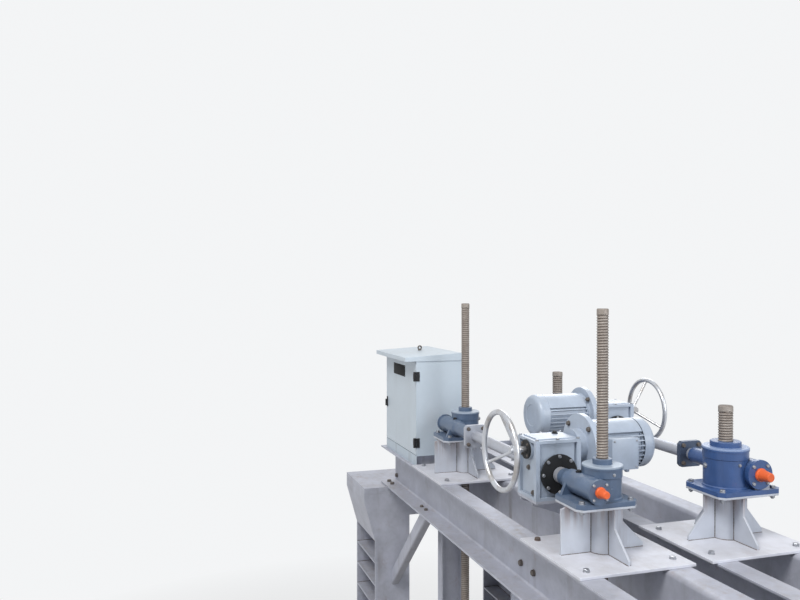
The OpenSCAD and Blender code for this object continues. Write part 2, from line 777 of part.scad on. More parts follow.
// Finned flange motor along +Y, with its fan cover and terminal box
module motor(worm_z) {
    core = motor_core_d / 2;
    fan_r = fan_cover_d / 2;
    fan_round = 30;
    fin_margin = 10;
    z0 = motor_flange_t / 2;
    z1 = z0 + motor_body;
    translate([0, gearbox_y / 2 + adapter_length + motor_flange_t / 2, worm_z + input_rise]) {
        rotate([-90, 0, 0]) {
            cylinder(d = motor_flange_d, h = z0);
            cylinder(r = core, h = z1 + sink);
            for (i = [0 : fin_count - 1]) rotate([0, 0, i * 360 / fin_count])
                translate([core - sink, -fin_t / 2, z0 + fin_margin])
                    cube([fin_h + sink, fin_t, motor_body - 2 * fin_margin]);
            translate([0, 0, z1]) rotate_extrude() {
                square([fan_r, fan_cover - fan_round]);
                square([fan_r - fan_round, fan_cover]);
                translate([fan_r - fan_round, fan_cover - fan_round]) circle(r = fan_round);
            }
        }
        translate([core - fin_margin, z0 + terminal_setback, -terminal_h / 2 - terminal_drop])
            cube([fin_h + terminal_depth + fin_margin, terminal_length, terminal_h]);
    }
}

module motor_front() { color(gear_grey) gearbox_place(front_gear_x, front_worm_off) motor(front_worm_z); }
module motor_rear() {
    color(gear_grey) hoist_side(true) gearbox_place(rear_gear_x, rear_worm_off) motor(rear_worm_z);
}

// Dished handwheel with three spokes; its shaft runs into the gearbox
module handwheel(worm_z, dish) {
    rim_r = (wheel_d - rim_d) / 2;
    spoke_run = rim_r - hub_d / 4;
    tilt = atan2(dish - hub_length / 2, spoke_run);
    nut_d = 38;
    nut_h = 10;
    shaft_in = hub_gap + input_socket - turn_gap;
    translate([0, -gearbox_y / 2 - hub_gap, worm_z + input_rise]) rotate([90, 0, 0]) {
        translate([0, 0, -shaft_in]) cylinder(d = input_shaft_d, h = shaft_in + sink);
        cylinder(d = hub_d, h = hub_length);
        translate([0, 0, hub_length]) cylinder(d = nut_d, h = nut_h);
        translate([0, 0, dish]) rotate_extrude() translate([rim_r, 0]) circle(d = rim_d);
        for (turn = [90, 210, 330]) rotate([0, 0, turn])
            translate([hub_d / 4, 0, hub_length / 2]) rotate([0, 90 - tilt, 0])
                cylinder(d = spoke_d, h = spoke_run / cos(tilt));
    }
}

module handwheel_front() {
    color(wheel_steel) gearbox_place(front_gear_x, front_worm_off) handwheel(front_worm_z, front_dish);
}
module handwheel_rear() {
    color(wheel_steel) hoist_side(true) gearbox_place(rear_gear_x, rear_worm_off)
        handwheel(rear_worm_z, rear_dish);
}

// Cross shaft of one hoist, through the gearbox, with torque tube, coupling and sleeve
module drive_shaft(gear_x, worm_z, worm_off) {
    stub = 24;
    hub_l = 40;
    coupling_cut = 16;
    shaft_in = shaft_socket - turn_gap;
    x_near = stem_x - short_nose + shaft_in;
    x_far = -stem_x + long_nose - shaft_in;
    sleeve_0 = gear_x + gearbox_x / 2 + turn_gap;
    sleeve_1 = stem_x - short_nose - turn_gap;
    flange_0 = -stem_x + long_nose + turn_gap + stub;
    tube_0 = flange_0 + 2 * coupling_t;
    tube_1 = gear_x - gearbox_x / 2 - turn_gap;
    translate([0, -gate_y - worm_off, deck_height + worm_z]) rotate([0, 90, 0]) {
        translate([0, 0, x_far]) cylinder(d = shaft_d, h = x_near - x_far);
        translate([0, 0, sleeve_0]) cylinder(d = sleeve_d, h = sleeve_1 - sleeve_0);
        translate([0, 0, flange_0 - stub]) cylinder(d = torque_tube_d, h = stub + sink);
        translate([0, 0, flange_0]) linear_extrude(2 * coupling_t) cut_square(coupling_side, coupling_cut);
        translate([0, 0, tube_0 - sink]) cylinder(d = torque_tube_d, h = tube_1 - tube_0 + sink);
        translate([0, 0, tube_1 - hub_l]) cylinder(d = sleeve_d, h = hub_l);
    }
}

module drive_shaft_front() {
    color(wheel_steel) drive_shaft(front_gear_x, front_worm_z, front_worm_off);
}
module drive_shaft_rear() {
    color(wheel_steel) hoist_side(true) drive_shaft(rear_gear_x, rear_worm_z, rear_worm_off);
}

// Ribbed gate leaf: skin on the outer side, ribs towards the bay centre
module gate_leaf(lift, stem_d) {
    w = leaf_width;
    d = leaf_depth;
    row_h = (leaf_h - leaf_t) / rib_rows;
    rib_d = d - rib_setback;
    end = w / 2 - leaf_t;
    color(galvanised_dark) translate([0, -gate_y, leaf_rest + lift]) difference() {
        union() {
            translate([-w / 2, -d / 2, 0]) cube([w, leaf_t, leaf_h]);
            for (z = [0, leaf_h - leaf_t]) translate([-w / 2, -d / 2, z]) cube([w, d, leaf_t]);
            for (x = [-end, end - end_post, end_post - end, end])
                translate([x - leaf_t * (x < 0 ? 1 : 0), -d / 2, 0]) cube([leaf_t, d, leaf_h]);
            for (i = [1 : rib_rows - 1])
                translate([-end - sink, -d / 2, i * row_h]) cube([2 * (end + sink), rib_d, leaf_t]);
            for (x = [-stem_x, -stem_x / 2, 0, stem_x / 2, stem_x])
                translate([x - leaf_t / 2, -d / 2, sink]) cube([leaf_t, rib_d, leaf_h - 2 * sink]);
            for (x = [-stem_x, stem_x]) translate([x, 0, leaf_h - sink]) {
                translate([-d / 2, -d / 2, 0]) cube([d, d, socket_plate_t + sink]);
                cylinder(d = socket_d, h = socket_plate_t + socket_h + sink);
            }
        }
        for (x = [-stem_x, stem_x]) translate([x, 0, socket_seat])
            cylinder(r = stem_d / 2 + hair, h = socket_h + sink);
    }
}

module gate_leaf_front() { gate_leaf(front_lift, front_stem_d); }
module gate_leaf_rear() { hoist_side(true) gate_leaf(0, rear_stem_d); }

// Rubber bar under the leaf, between the guides
module gate_seal(lift) {
    length = leaf_width - 2 * (end_post + leaf_t);
    color(seal_black) translate([-length / 2, -gate_y - seal_w / 2, leaf_rest - seal_h + lift])
        cube([length, seal_w, seal_h]);
}

module gate_seal_front() { gate_seal(front_lift); }
module gate_seal_rear() { hoist_side(true) gate_seal(0); }

module stems(lift, stem_d) {
    bevel = 4;
    foot_z = leaf_rest + socket_seat + lift;
    color(stem_steel) for (x = [-stem_x, stem_x]) translate([x, -gate_y, foot_z]) {
        cylinder(d = stem_d, h = stem_length - bevel);
        translate([0, 0, stem_length - bevel]) cylinder(d1 = stem_d, d2 = stem_d - 2 * bevel, h = bevel);
    }
}

module stems_front() { stems(front_lift, front_stem_d); }
module stems_rear() { hoist_side(true) stems(0, rear_stem_d); }

// Side guides: channels open towards the leaf, from the sill up to the head bars
module guides() {
    color(galvanised) for (far = [0, 1]) mirror([far, 0, 0])
        translate([guide_outer, -gate_y - guide_width / 2, sill_h]) mirror([1, 0, 0])
            linear_extrude(head_bar_bottom - sill_h)
                channel_profile(guide_width, guide_depth, guide_t, guide_bend);
}

module guides_front() { guides(); }
module guides_rear() { hoist_side(true) guides(); }

// Bars under the beams of a pair, flanges down, one above each guide, clear of the knee braces
module guide_heads() {
    y_out = pair_half - (beam_flange + brace_b) / 2 - plate_gap;
    color(galvanised_dark) for (rear = [false, true]) hoist_side(rear)
        for (x = [guide_outer - guide_depth, -guide_outer])
            translate([x, (pair_half - y_out) / 2 - gate_y, beam_bottom]) rotate([0, 90, -90])
                linear_extrude(pair_half + y_out, center = true)
                    channel_profile(guide_depth, head_bar_h, guide_t, guide_bend);
}

// Sill channels on the floor, flanges down
module sills() {
    sill_w = guide_width + 2 * sill_ledge;
    color(galvanised_dark) for (rear = [false, true]) hoist_side(rear)
        translate([0, -gate_y - sill_w / 2, sill_h]) rotate([0, 90, 0])
            linear_extrude(2 * (guide_outer + sill_ledge), center = true)
                channel_profile(sill_w, sill_h, guide_t, guide_bend);
}

// Lintels over the water passage, on the inner faces of the guides
module lintels() {
    color(galvanised_dark) for (rear = [false, true]) hoist_side(rear)
        translate([0, -gate_y + guide_width / 2, passage_top]) rotate([90, 0, 90])
            linear_extrude(2 * guide_outer, center = true)
                channel_profile(lintel_h, lintel_depth, guide_t, guide_bend);
}

// Two cross bars that lift the cabinet off the beams, closed by an apron under the door
module cabinet_plinth() {
    bar_b = 60;
    bar_t = 5;
    bar_inset = 40;
    y_end = -web_in + beam_flange - diaphragm_inset;
    color(galvanised) for (x = [cabinet_far + bar_inset, cabinet_near - bar_inset - bar_b])
        translate([x, (cabinet_front + y_end) / 2, cabinet_z]) rotate([0, 90, -90])
            linear_extrude(y_end - cabinet_front, center = true)
                channel_profile(bar_b, plinth_h, bar_t, 2 * bar_t);
    color(galvanised) translate([cabinet_far, cabinet_front, beam_top]) cube([cabinet_x, bar_t, plinth_h]);
}

// Sheet metal box, open towards the door
module cabinet_shell() {
    return_w = 24;
    w = cabinet_wall;
    color(cabinet_white) translate([cabinet_far, cabinet_front, cabinet_z]) difference() {
        cube([cabinet_x, cabinet_y, cabinet_h]);
        translate([w, -sink, w]) cube([cabinet_x - 2 * w, door_t + door_gap + sink, cabinet_h - 2 * w]);
        translate([w + return_w, 0, w + return_w])
            cube([cabinet_x - 2 * (w + return_w), cabinet_y / 2, cabinet_h - 2 * (w + return_w)]);
        translate([w, door_t + door_gap + w, w])
            cube([cabinet_x - 2 * w, cabinet_y - door_t - door_gap - 2 * w, cabinet_h - 2 * w]);
    }
}

// Rain roof with a visor, lowest over the door
module cabinet_roof() {
    back = cabinet_y + roof_lip;
    color(cabinet_white) translate([cabinet_far - roof_lip, cabinet_front, cabinet_z + cabinet_h])
        rotate([90, 0, 90]) linear_extrude(cabinet_x + 2 * roof_lip)
            polygon([[-roof_visor, 0], [back, 0], [back, roof_back_h - roof_lip],
                     [back - 2 * roof_lip, roof_back_h], [-roof_visor, roof_front_h]]);
}

// Folded door pan, flush with the front of the box
module cabinet_door() {
    w = cabinet_wall;
    door_x = cabinet_x - 2 * (w + door_gap);
    door_h = cabinet_h - 2 * (w + door_gap);
    color(cabinet_white) translate([cabinet_far + w + door_gap, cabinet_front, cabinet_z + w + door_gap])
        difference() {
            cube([door_x, door_t, door_h]);
            translate([w, w, w]) cube([door_x - 2 * w, door_t, door_h - 2 * w]);
        }
}

// Moving half of each hinge: a knuckle with a leaf on the door
module door_knuckles() {
    color(cover_black) for (level = hinge_levels)
        translate([hinge_x, hinge_y, cabinet_z + level * cabinet_h]) difference() {
            union() {
                cylinder(r = knuckle_r, h = knuckle_h, center = true);
                translate([-knuckle_leaf, 0, -knuckle_h / 2]) cube([knuckle_leaf, knuckle_r, knuckle_h]);
            }
            cylinder(r = hinge_pin_r + hair, h = knuckle_h + 2 * sink, center = true);
        }
}

// Fixed half of each hinge: two lugs on a strap beside the box, and the pin through them
module cabinet_hinges() {
    strap_x = cabinet_near - hinge_x;
    strap_end = knuckle_r + hinge_strap_run;
    half = knuckle_h / 2 + hair;
    color(cover_black) for (level = hinge_levels)
        translate([hinge_x, hinge_y, cabinet_z + level * cabinet_h]) {
            cylinder(r = hinge_pin_r, h = 2 * (half + hinge_lug), center = true);
            for (end = [0, 1]) mirror([0, 0, end]) translate([0, 0, half]) {
                cylinder(r = knuckle_r, h = hinge_lug);
                translate([0, -knuckle_r, 0]) cube([strap_x + hinge_strap, 2 * knuckle_r, hinge_lug]);
                translate([strap_x, 0, 0]) cube([hinge_strap, strap_end, hinge_lug]);
            }
            translate([strap_x, knuckle_r, -half]) cube([hinge_strap, hinge_strap_run, 2 * half]);
        }
}

beam_front_outer();
beam_front_inner();
beam_rear_inner();
beam_rear_outer();
pair_diaphragms();
crosshead_near();
crosshead_far();
column_near_front();
column_near_rear();
column_far_front();
column_far_rear();
knee_braces();
jack_plates_front();
jack_plates_rear();
pedestals_front();
pedestals_rear();
jacks_front();
jacks_rear();
shaft_caps();
gearbox_front();
gearbox_rear();
gearbox_covers();
gearbox_shelf_front();
gearbox_shelf_rear();
motor_front();
motor_rear();
handwheel_front();
handwheel_rear();
drive_shaft_front();
drive_shaft_rear();
gate_leaf_front();
gate_leaf_rear();
gate_seal_front();
gate_seal_rear();
stems_front();
stems_rear();
guides_front();
guides_rear();
guide_heads();
sills();
lintels();
cabinet_plinth();
cabinet_shell();
cabinet_roof();
cabinet_door();
door_knuckles();
cabinet_hinges();
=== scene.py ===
import bpy
import bmesh
import json
import math
from mathutils import Matrix, Vector

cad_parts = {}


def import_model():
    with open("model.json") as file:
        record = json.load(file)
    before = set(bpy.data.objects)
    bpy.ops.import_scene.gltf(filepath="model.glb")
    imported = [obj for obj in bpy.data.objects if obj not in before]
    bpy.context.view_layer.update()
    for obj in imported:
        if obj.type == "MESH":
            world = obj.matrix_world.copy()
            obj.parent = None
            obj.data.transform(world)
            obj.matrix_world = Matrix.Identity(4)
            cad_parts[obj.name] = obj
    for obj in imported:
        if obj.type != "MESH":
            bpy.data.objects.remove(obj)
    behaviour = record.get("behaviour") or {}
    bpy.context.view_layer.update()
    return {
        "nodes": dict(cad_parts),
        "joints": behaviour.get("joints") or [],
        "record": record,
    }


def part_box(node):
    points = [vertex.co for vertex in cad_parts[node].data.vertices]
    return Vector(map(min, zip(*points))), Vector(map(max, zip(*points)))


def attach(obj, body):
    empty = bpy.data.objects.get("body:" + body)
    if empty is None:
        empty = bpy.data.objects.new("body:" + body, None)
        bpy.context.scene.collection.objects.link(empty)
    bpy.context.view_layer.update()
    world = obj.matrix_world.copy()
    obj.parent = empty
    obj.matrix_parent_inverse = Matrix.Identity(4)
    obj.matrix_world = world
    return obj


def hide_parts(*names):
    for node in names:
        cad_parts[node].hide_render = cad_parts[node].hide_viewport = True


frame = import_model()
print("frame loaded:", len(frame["nodes"]), "nodes")


# camera, light and floor

cameraSet = {
    "place": (4.266, -2.506, 4.300),
    "heading": (-0.9534, 0.3015),
    "tiltDown": math.radians(0.6),
    "lens": 34.56,
    "sensor": 36.0,
}
studio = {
    "world": (0.86, 0.875, 0.89),
    "worldStrength": 0.50,
    "backdrop": (0.90, 0.91, 0.92),
    "floorColour": (0.80, 0.79, 0.78),
    "floorReach": 60.0,
    "fadeFrom": 3.0,
    "fadeTo": 8.0,
    "lamps": {
        # name: place, target, size, power, colour
        "keyLamp": ((3.5, -5.0, 10.5), (0, 0, 2.6), 4.0, 650.0, (1.0, 0.985, 0.96)),
        "fillLamp": ((8.5, 3.5, 6.5), (0, 0, 2.8), 5.0, 360.0, (0.94, 0.97, 1.0)),
        "backLamp": ((-7.5, 5.0, 8.0), (0, 0, 2.6), 5.0, 240.0, (0.95, 0.97, 1.0)),
    },
}


def aim(thing, target):
    thing.rotation_mode = "QUATERNION"
    thing.rotation_quaternion = (Vector(target) - thing.location).to_track_quat("-Z", "Y")


def setCamera():
    data = bpy.data.cameras.new("photoCamera")
    data.lens = cameraSet["lens"]
    data.sensor_width = cameraSet["sensor"]
    data.clip_start = 0.05
    data.clip_end = 400.0
    camera = bpy.data.objects.new("photoCamera", data)
    bpy.context.scene.collection.objects.link(camera)
    camera.location = cameraSet["place"]
    x, y = cameraSet["heading"]
    ahead = Vector((x, y, -math.tan(cameraSet["tiltDown"])))
    aim(camera, camera.location + ahead)
    bpy.context.scene.camera = camera


def softLamp(name, place, target, size, power, colour):
    data = bpy.data.lights.new(name, "AREA")
    data.shape = "DISK"
    data.size = size
    data.energy = power
    data.color = colour
    lamp = bpy.data.objects.new(name, data)
    bpy.context.scene.collection.objects.link(lamp)
    lamp.location = place
    aim(lamp, target)


class Wire:
    # a socket that takes part in Python expressions; each operator adds its node
    def __init__(self, tree, socket=None):
        self.tree = tree
        self.socket = socket

    def node(self, kind, settings=None, sockets=None, output=0):
        made = self.tree.nodes.new(kind)
        for name, value in (settings or {}).items():
            setattr(made, name, value)
        for name, value in (sockets or {}).items():
            for item in value if isinstance(value, list) else [value]:
                if isinstance(item, Wire):
                    self.tree.links.new(item.socket, made.inputs[name])
                else:
                    made.inputs[name].default_value = item
        return Wire(self.tree, made.outputs[output])

    def other(self, name):
        return Wire(self.tree, self.socket.node.outputs[name])

    def math(self, operation, first, second=0.0):
        return self.node("ShaderNodeMath", {"operation": operation}, {0: first, 1: second})

    def __add__(self, value):
        return self.math("ADD", self, value)

    __radd__ = __add__

    def __sub__(self, value):
        return self.math("SUBTRACT", self, value)

    def __rsub__(self, value):
        return self.math("SUBTRACT", value, self)

    def __mul__(self, value):
        return self.math("MULTIPLY", self, value)

    __rmul__ = __mul__

    def __truediv__(self, value):
        return self.math("DIVIDE", self, value)

    def __pow__(self, value):
        return self.math("POWER", self, value)

    def ramp(self, low, high):
        return self.node("ShaderNodeMapRange", {"clamp": True}, {0: self, 1: low, 2: high, 3: 0.0, 4: 1.0})

    def blend(self, first, second):
        sides = [c if isinstance(c, Wire) else (*c, 1) for c in (first, second)]
        return self.node("ShaderNodeMix", {"data_type": "RGBA"}, {0: self, 6: sides[0], 7: sides[1]}, 2)

    def axis(self, index):
        return self.node("ShaderNodeSeparateXYZ", None, {0: self}, index)

    def scaled(self, size):
        return self.node("ShaderNodeMapping", None, {"Vector": self, "Scale": size})

    def noise(self, scale, detail=4.0, roughness=0.55):
        return self.node("ShaderNodeTexNoise", None,
                         {"Vector": self, "Scale": scale, "Detail": detail, "Roughness": roughness})

    def cells(self, scale, output=0):
        return self.node("ShaderNodeTexVoronoi", None, {"Vector": self, "Scale": scale}, output)

    def vector(self, **parts):
        return self.node("ShaderNodeCombineXYZ", None, parts)

    def attribute(self, name, kind="FLOAT"):
        return self.node("GeometryNodeInputNamedAttribute", {"data_type": kind}, {"Name": name})

    def random(self, low, high, seed):
        return self.node("FunctionNodeRandomValue", {"data_type": "FLOAT"},
                         {2: low, 3: high, "Seed": seed}, 1)

    def circle(self, steps, radius):
        return self.node("GeometryNodeCurvePrimitiveCircle", None,
                         {"Resolution": steps, "Radius": radius})


def seenDirectly(wire):
    # 1 for rays from the camera, off gloss and through glass
    path = wire.node("ShaderNodeLightPath")
    rays = path.other("Is Camera Ray") + path.other("Is Glossy Ray") + path.other("Is Transmission Ray")
    return rays.math("MINIMUM", rays, 1.0)


def setWorld():
    world = bpy.data.worlds.new("studioWorld")
    bpy.context.scene.world = world
    world.use_nodes = True
    tree = world.node_tree
    tree.nodes.clear()
    wire = Wire(tree)
    lit = wire.node("ShaderNodeBackground", None,
                    {"Color": (*studio["world"], 1), "Strength": studio["worldStrength"]})
    plain = wire.node("ShaderNodeBackground", None, {"Color": (*studio["backdrop"], 1), "Strength": 1.0})
    mixed = wire.node("ShaderNodeMixShader", None, {0: seenDirectly(wire), 1: lit, 2: plain})
    tree.links.new(mixed.socket, tree.nodes.new("ShaderNodeOutputWorld").inputs["Surface"])


def setFloor():
    reach = studio["floorReach"]
    mesh = bpy.data.meshes.new("studioFloor")
    mesh.from_pydata([(-reach, -reach, 0), (reach, -reach, 0), (reach, reach, 0), (-reach, reach, 0)],
                     [], [(0, 1, 2, 3)])
    floor = bpy.data.objects.new("studioFloor", mesh)
    bpy.context.scene.collection.objects.link(floor)
    floor.location.z = -0.001
    paint = bpy.data.materials.new("studioFloor")
    paint.use_nodes = True
    tree = paint.node_tree
    shader = tree.nodes["Principled BSDF"]
    shader.inputs["Base Color"].default_value = (*studio["floorColour"], 1)
    shader.inputs["Roughness"].default_value = 0.9
    wire = Wire(tree)
    place = wire.node("ShaderNodeTexCoord").other("Object")
    away = place.node("ShaderNodeVectorMath", {"operation": "LENGTH"}, {0: place}, 1)
    fade = away.ramp(studio["fadeFrom"], studio["fadeTo"]) * seenDirectly(wire)
    glow = wire.node("ShaderNodeEmission", None, {"Color": (*studio["backdrop"], 1), "Strength": 1.0})
    mixed = wire.node("ShaderNodeMixShader", None, {0: fade, 1: Wire(tree, shader.outputs[0]), 2: glow})
    tree.links.new(mixed.socket, tree.nodes["Material Output"].inputs["Surface"])
    mesh.materials.append(paint)


bpy.context.scene.view_settings.view_transform = "Standard"
setCamera()
setWorld()
setFloor()
for lampName, values in studio["lamps"].items():
    softLamp(lampName, *values)
print("camera and studio set")


# materials

def linear(hexColour):
    parts = [int(hexColour[i:i + 2], 16) / 255 for i in (1, 3, 5)]
    return tuple(c / 12.92 if c <= 0.04045 else ((c + 0.055) / 1.055) ** 2.4 for c in parts)


def newMaterial(name):
    material = bpy.data.materials.new(name)
    material.use_nodes = True
    wire = Wire(material.node_tree)
    place = wire.node("ShaderNodeTexCoord").other("Object")
    facing = wire.node("ShaderNodeNewGeometry").other("Normal")
    return material, material.node_tree.nodes["Principled BSDF"], place, facing


def plug(shader, **inputs):
    names = {"colour": "Base Color", "roughness": "Roughness", "metallic": "Metallic", "normal": "Normal",
             "coat": "Coat Weight", "coatRoughness": "Coat Roughness"}
    for key, value in inputs.items():
        socket = shader.inputs[names[key]]
        if isinstance(value, Wire):
            value.tree.links.new(value.socket, socket)
        else:
            socket.default_value = (*value, 1) if isinstance(value, tuple) else value


def bumped(height, strength, distance):
    return height.node("ShaderNodeBump", None,
                       {"Strength": strength, "Distance": distance, "Height": height})


def weathered(name, look):
    # paint or zinc: mottled coat, dirt on what faces up, streaks that run down, painted shade on what faces
    # down, rust specks
    material, shader, place, facing = newMaterial(name)
    coat = linear(look["coat"])
    mottle = place.noise(look["mottleScale"], 5.0, 0.6)
    shade = place.noise(1.3, 2.0, 0.5)
    light = tuple(min(1.0, c * 1.08) for c in coat)
    deep = tuple(c * look["depth"] for c in coat)
    colour = mottle.ramp(0.30, 0.70).blend(deep, light)
    colour = (shade.ramp(0.35, 0.75) * 0.35).blend(colour, coat)
    if look["spangle"]:
        flake = place.cells(34.0, 1).axis(0)
        bright = tuple(min(1.0, c * 1.25) for c in coat)
        colour = (flake * look["spangle"]).blend(colour, bright)
    if look["band"]:
        # another colour between two places along one axis: a second paint on the plinth and rear shaft; on the
        # jacks the paler crown top and rim, partly dust and partly a painted highlight
        index, start, end, paint = look["band"]
        along = place.axis(index)
        inside = along.math("GREATER_THAN", along, start) * along.math("LESS_THAN", along, end)
        colour = inside.blend(colour, linear(paint))
    upward = facing.axis(2).ramp(0.35, 0.95)
    # painted shade: a mask of the faces that point down
    shadedUnderside = (0.0 - facing.axis(2)).ramp(0.2, 0.9)
    speck = place.noise(look["dustScale"], 6.0, 0.7)
    patch = place.noise(2.3, 3.0, 0.6)
    dustMask = (upward * speck.ramp(0.40, 0.72)) * (patch.ramp(0.35, 0.70) * look["dust"])
    colour = dustMask.blend(colour, linear(look["dustColour"]))
    run = place.scaled((9.0, 9.0, 0.9)).noise(1.0, 5.0, 0.62)
    breakUp = place.noise(2.1, 3.0, 0.55)
    streak = (run.ramp(0.54, 0.74) * breakUp.ramp(0.40, 0.68)) * ((1 - upward) * look["streak"])
    colour = streak.blend(colour, linear(look["streakAndShadeColour"]))
    # painted shade: faces that point down are darkened towards the streak colour
    colour = (shadedUnderside * look["under"]).blend(colour, linear(look["streakAndShadeColour"]))
    rustField = place.noise(5.5, 8.0, 0.68)
    rustMask = rustField.ramp(0.66 - look["rust"] * 0.12, 0.80) * \
        (look["rust"] * place.noise(60.0, 3.0).ramp(0.3, 0.6))
    if look["stainTop"]:
        # brown run-off below a joint at a known height
        height = place.axis(2)
        below = height.ramp(look["stainTop"] - look["stainDrop"], look["stainTop"])
        finger = place.scaled((30.0, 30.0, 2.2)).noise(1.0, 4.0, 0.6).ramp(0.43, 0.62)
        stain = below * finger * height.math("LESS_THAN", height, look["stainTop"] + 0.002)
        rustMask = rustMask.math("MAXIMUM", rustMask, stain * look["stain"])
    colour = rustMask.blend(colour, linear("#7a4a2c"))
    rough = mottle * 0.16 + (dustMask + streak) * 0.22 + look["roughness"]
    grain = place.noise(look["grainScale"], 3.0, 0.6)
    metal = look["metallic"] * (1 - rustMask) if look["metallic"] else 0.0
    plug(shader, colour=colour, roughness=rough, metallic=metal,
         normal=bumped(grain * 0.6 + mottle * 0.4, look["bump"], 0.002), coat=look["gloss"],
         coatRoughness=0.28)
    return material


# the under amount darkens faces that point down: painted shade, in the streak colour
steelLook = {
    "coat": "#b3b6c2", "depth": 0.80, "mottleScale": 7.0, "spangle": 0.20, "band": None, "dust": 0.62,
    "dustColour": "#9c9187", "dustScale": 22.0, "streak": 0.62, "streakAndShadeColour": "#6f665f", "under": 0.45,
    "rust": 0.55, "stainTop": 0.0, "stainDrop": 0.1, "stain": 0.0, "roughness": 0.46, "metallic": 0.28,
    "grainScale": 240.0, "bump": 0.10, "gloss": 0.0,
}
plateLook = {**steelLook, "coat": "#cfd1da", "depth": 0.90, "spangle": 0.0, "dust": 0.45,
             "dustColour": "#8f8172", "dustScale": 12.0, "streak": 0.35, "rust": 0.25, "metallic": 0.10,
             "roughness": 0.46}
gateLook = {**steelLook, "coat": "#8a8d96", "depth": 0.72, "streak": 0.85, "rust": 0.8, "dust": 1.0}
pedestalLook = {**plateLook, "coat": "#bcc1cb", "streak": 0.5, "streakAndShadeColour": "#7d5a3f", "rust": 0.35,
                "stainTop": 3.238, "stainDrop": 0.13, "stain": 0.55}
jackGreyLook = {**steelLook, "coat": "#526580", "depth": 0.78, "mottleScale": 11.0, "spangle": 0.0,
                "dust": 0.95, "dustColour": "#9096a0", "dustScale": 30.0, "streak": 0.35,
                "streakAndShadeColour": "#3b3c42", "rust": 0.25, "roughness": 0.34, "metallic": 0.0,
                "grainScale": 130.0, "bump": 0.22, "gloss": 0.30}
# band: the crown's top disc and rim paler, partly dust and partly a painted highlight where the top is lit
jackFrontLook = {**jackGreyLook, "band": (2, 3.4290, 3.4385, "#94a1b1")}
jackRearLook = {**jackGreyLook, "coat": "#345387", "dust": 0.7, "dustColour": "#8492a8",
                "band": (2, 3.4730, 3.4825, "#7f93b8")}
gearLook = {**jackGreyLook, "coat": "#a9b5c6", "depth": 0.88, "dust": 0.6, "dustColour": "#978e83",
            "streak": 0.32, "streakAndShadeColour": "#6a665f", "rust": 0.18, "gloss": 0.35}
blackLook = {**jackGreyLook, "coat": "#0e1014", "depth": 0.75, "dust": 0.22, "dustColour": "#5d5a56",
             "rust": 0.1, "streak": 0.10, "roughness": 0.55, "gloss": 0.0}
labelLook = {**blackLook, "coat": "#0b0b0d", "dust": 0.1, "roughness": 0.75, "bump": 0.03}
cabinetLook = {**jackGreyLook, "coat": "#bac6d1", "depth": 0.965, "mottleScale": 3.0, "dust": 0.45,
               "dustColour": "#a39c91", "streak": 0.20, "streakAndShadeColour": "#858380", "under": 0.1,
               "rust": 0.0, "roughness": 0.36, "grainScale": 420.0, "bump": 0.07, "gloss": 0.25}
shaftLook = {**steelLook, "coat": "#b2b6c0", "depth": 0.82, "spangle": 0.0, "dust": 0.55, "rust": 0.35,
             "metallic": 0.50, "roughness": 0.36}
shaftRearLook = {**shaftLook, "band": (0, 0.4685, 0.4995, "#4a566b")}
plinthLook = {**steelLook, "band": (1, -0.70, -0.6415, cabinetLook["coat"])}
orangeLook = {**jackGreyLook, "coat": "#e2622c", "depth": 0.86, "dust": 0.30, "dustColour": "#a9734f",
              "streak": 0.12, "rust": 0.0, "roughness": 0.40, "gloss": 0.10, "bump": 0.05}
rubberLook = {**blackLook, "coat": "#1a1a1c", "gloss": 0.0, "roughness": 0.70, "dust": 0.6}
zincLook = {**steelLook, "coat": "#a3a6ac", "depth": 0.78, "mottleScale": 40.0, "spangle": 0.0,
            "dust": 0.35, "streak": 0.15, "rust": 0.40, "roughness": 0.32, "metallic": 0.80,
            "grainScale": 500.0, "bump": 0.08}
rustyLook = {**zincLook, "coat": "#66605c", "rust": 0.70, "metallic": 0.35, "roughness": 0.55}
weldLook = {**steelLook, "coat": "#7f7b7b", "depth": 0.62, "mottleScale": 60.0, "spangle": 0.0, "rust": 0.9,
            "dust": 0.5, "roughness": 0.55, "metallic": 0.35, "grainScale": 300.0, "bump": 0.2}


def polishedSteel(name):
    # handwheel: bright where hands turn it, fine scratches, faint brown film
    material, shader, place, facing = newMaterial(name)
    scratch = place.scaled((14.0, 14.0, 160.0)).noise(6.0, 6.0, 0.7)
    film = place.noise(9.0, 5.0, 0.6)
    colour = film.ramp(0.45, 0.75).blend(linear("#c6c9cf"), linear("#978d82"))
    plug(shader, colour=colour, metallic=0.85, roughness=scratch * 0.18 + film * 0.14 + 0.16,
         normal=bumped(scratch, 0.06, 0.001))
    return material


def threadSteel(name, stemX, stemY, radius, depth):
    # stem: bright crests, brown grease held in the roots, worn darker bands
    material, shader, place, facing = newMaterial(name)
    offX = place.axis(0).math("ABSOLUTE", place.axis(0)) - stemX
    offY = place.axis(1) - stemY
    reach = (offX * offX + offY * offY) ** 0.5
    crest = reach.ramp(radius - depth, radius - depth * 0.25)
    grime = place.noise(16.0, 6.0, 0.65)
    metal = grime.ramp(0.35, 0.70).blend(linear("#a7a09a"), linear("#8b8179"))
    colour = crest.blend(linear("#6f655f"), metal)
    flat = place.noise(70.0, 4.0, 0.6)
    plug(shader, colour=colour, metallic=0.15 + crest * 0.30, roughness=0.62 - crest * 0.18 + flat * 0.12,
         normal=bumped(flat, 0.10, 0.001))
    return material


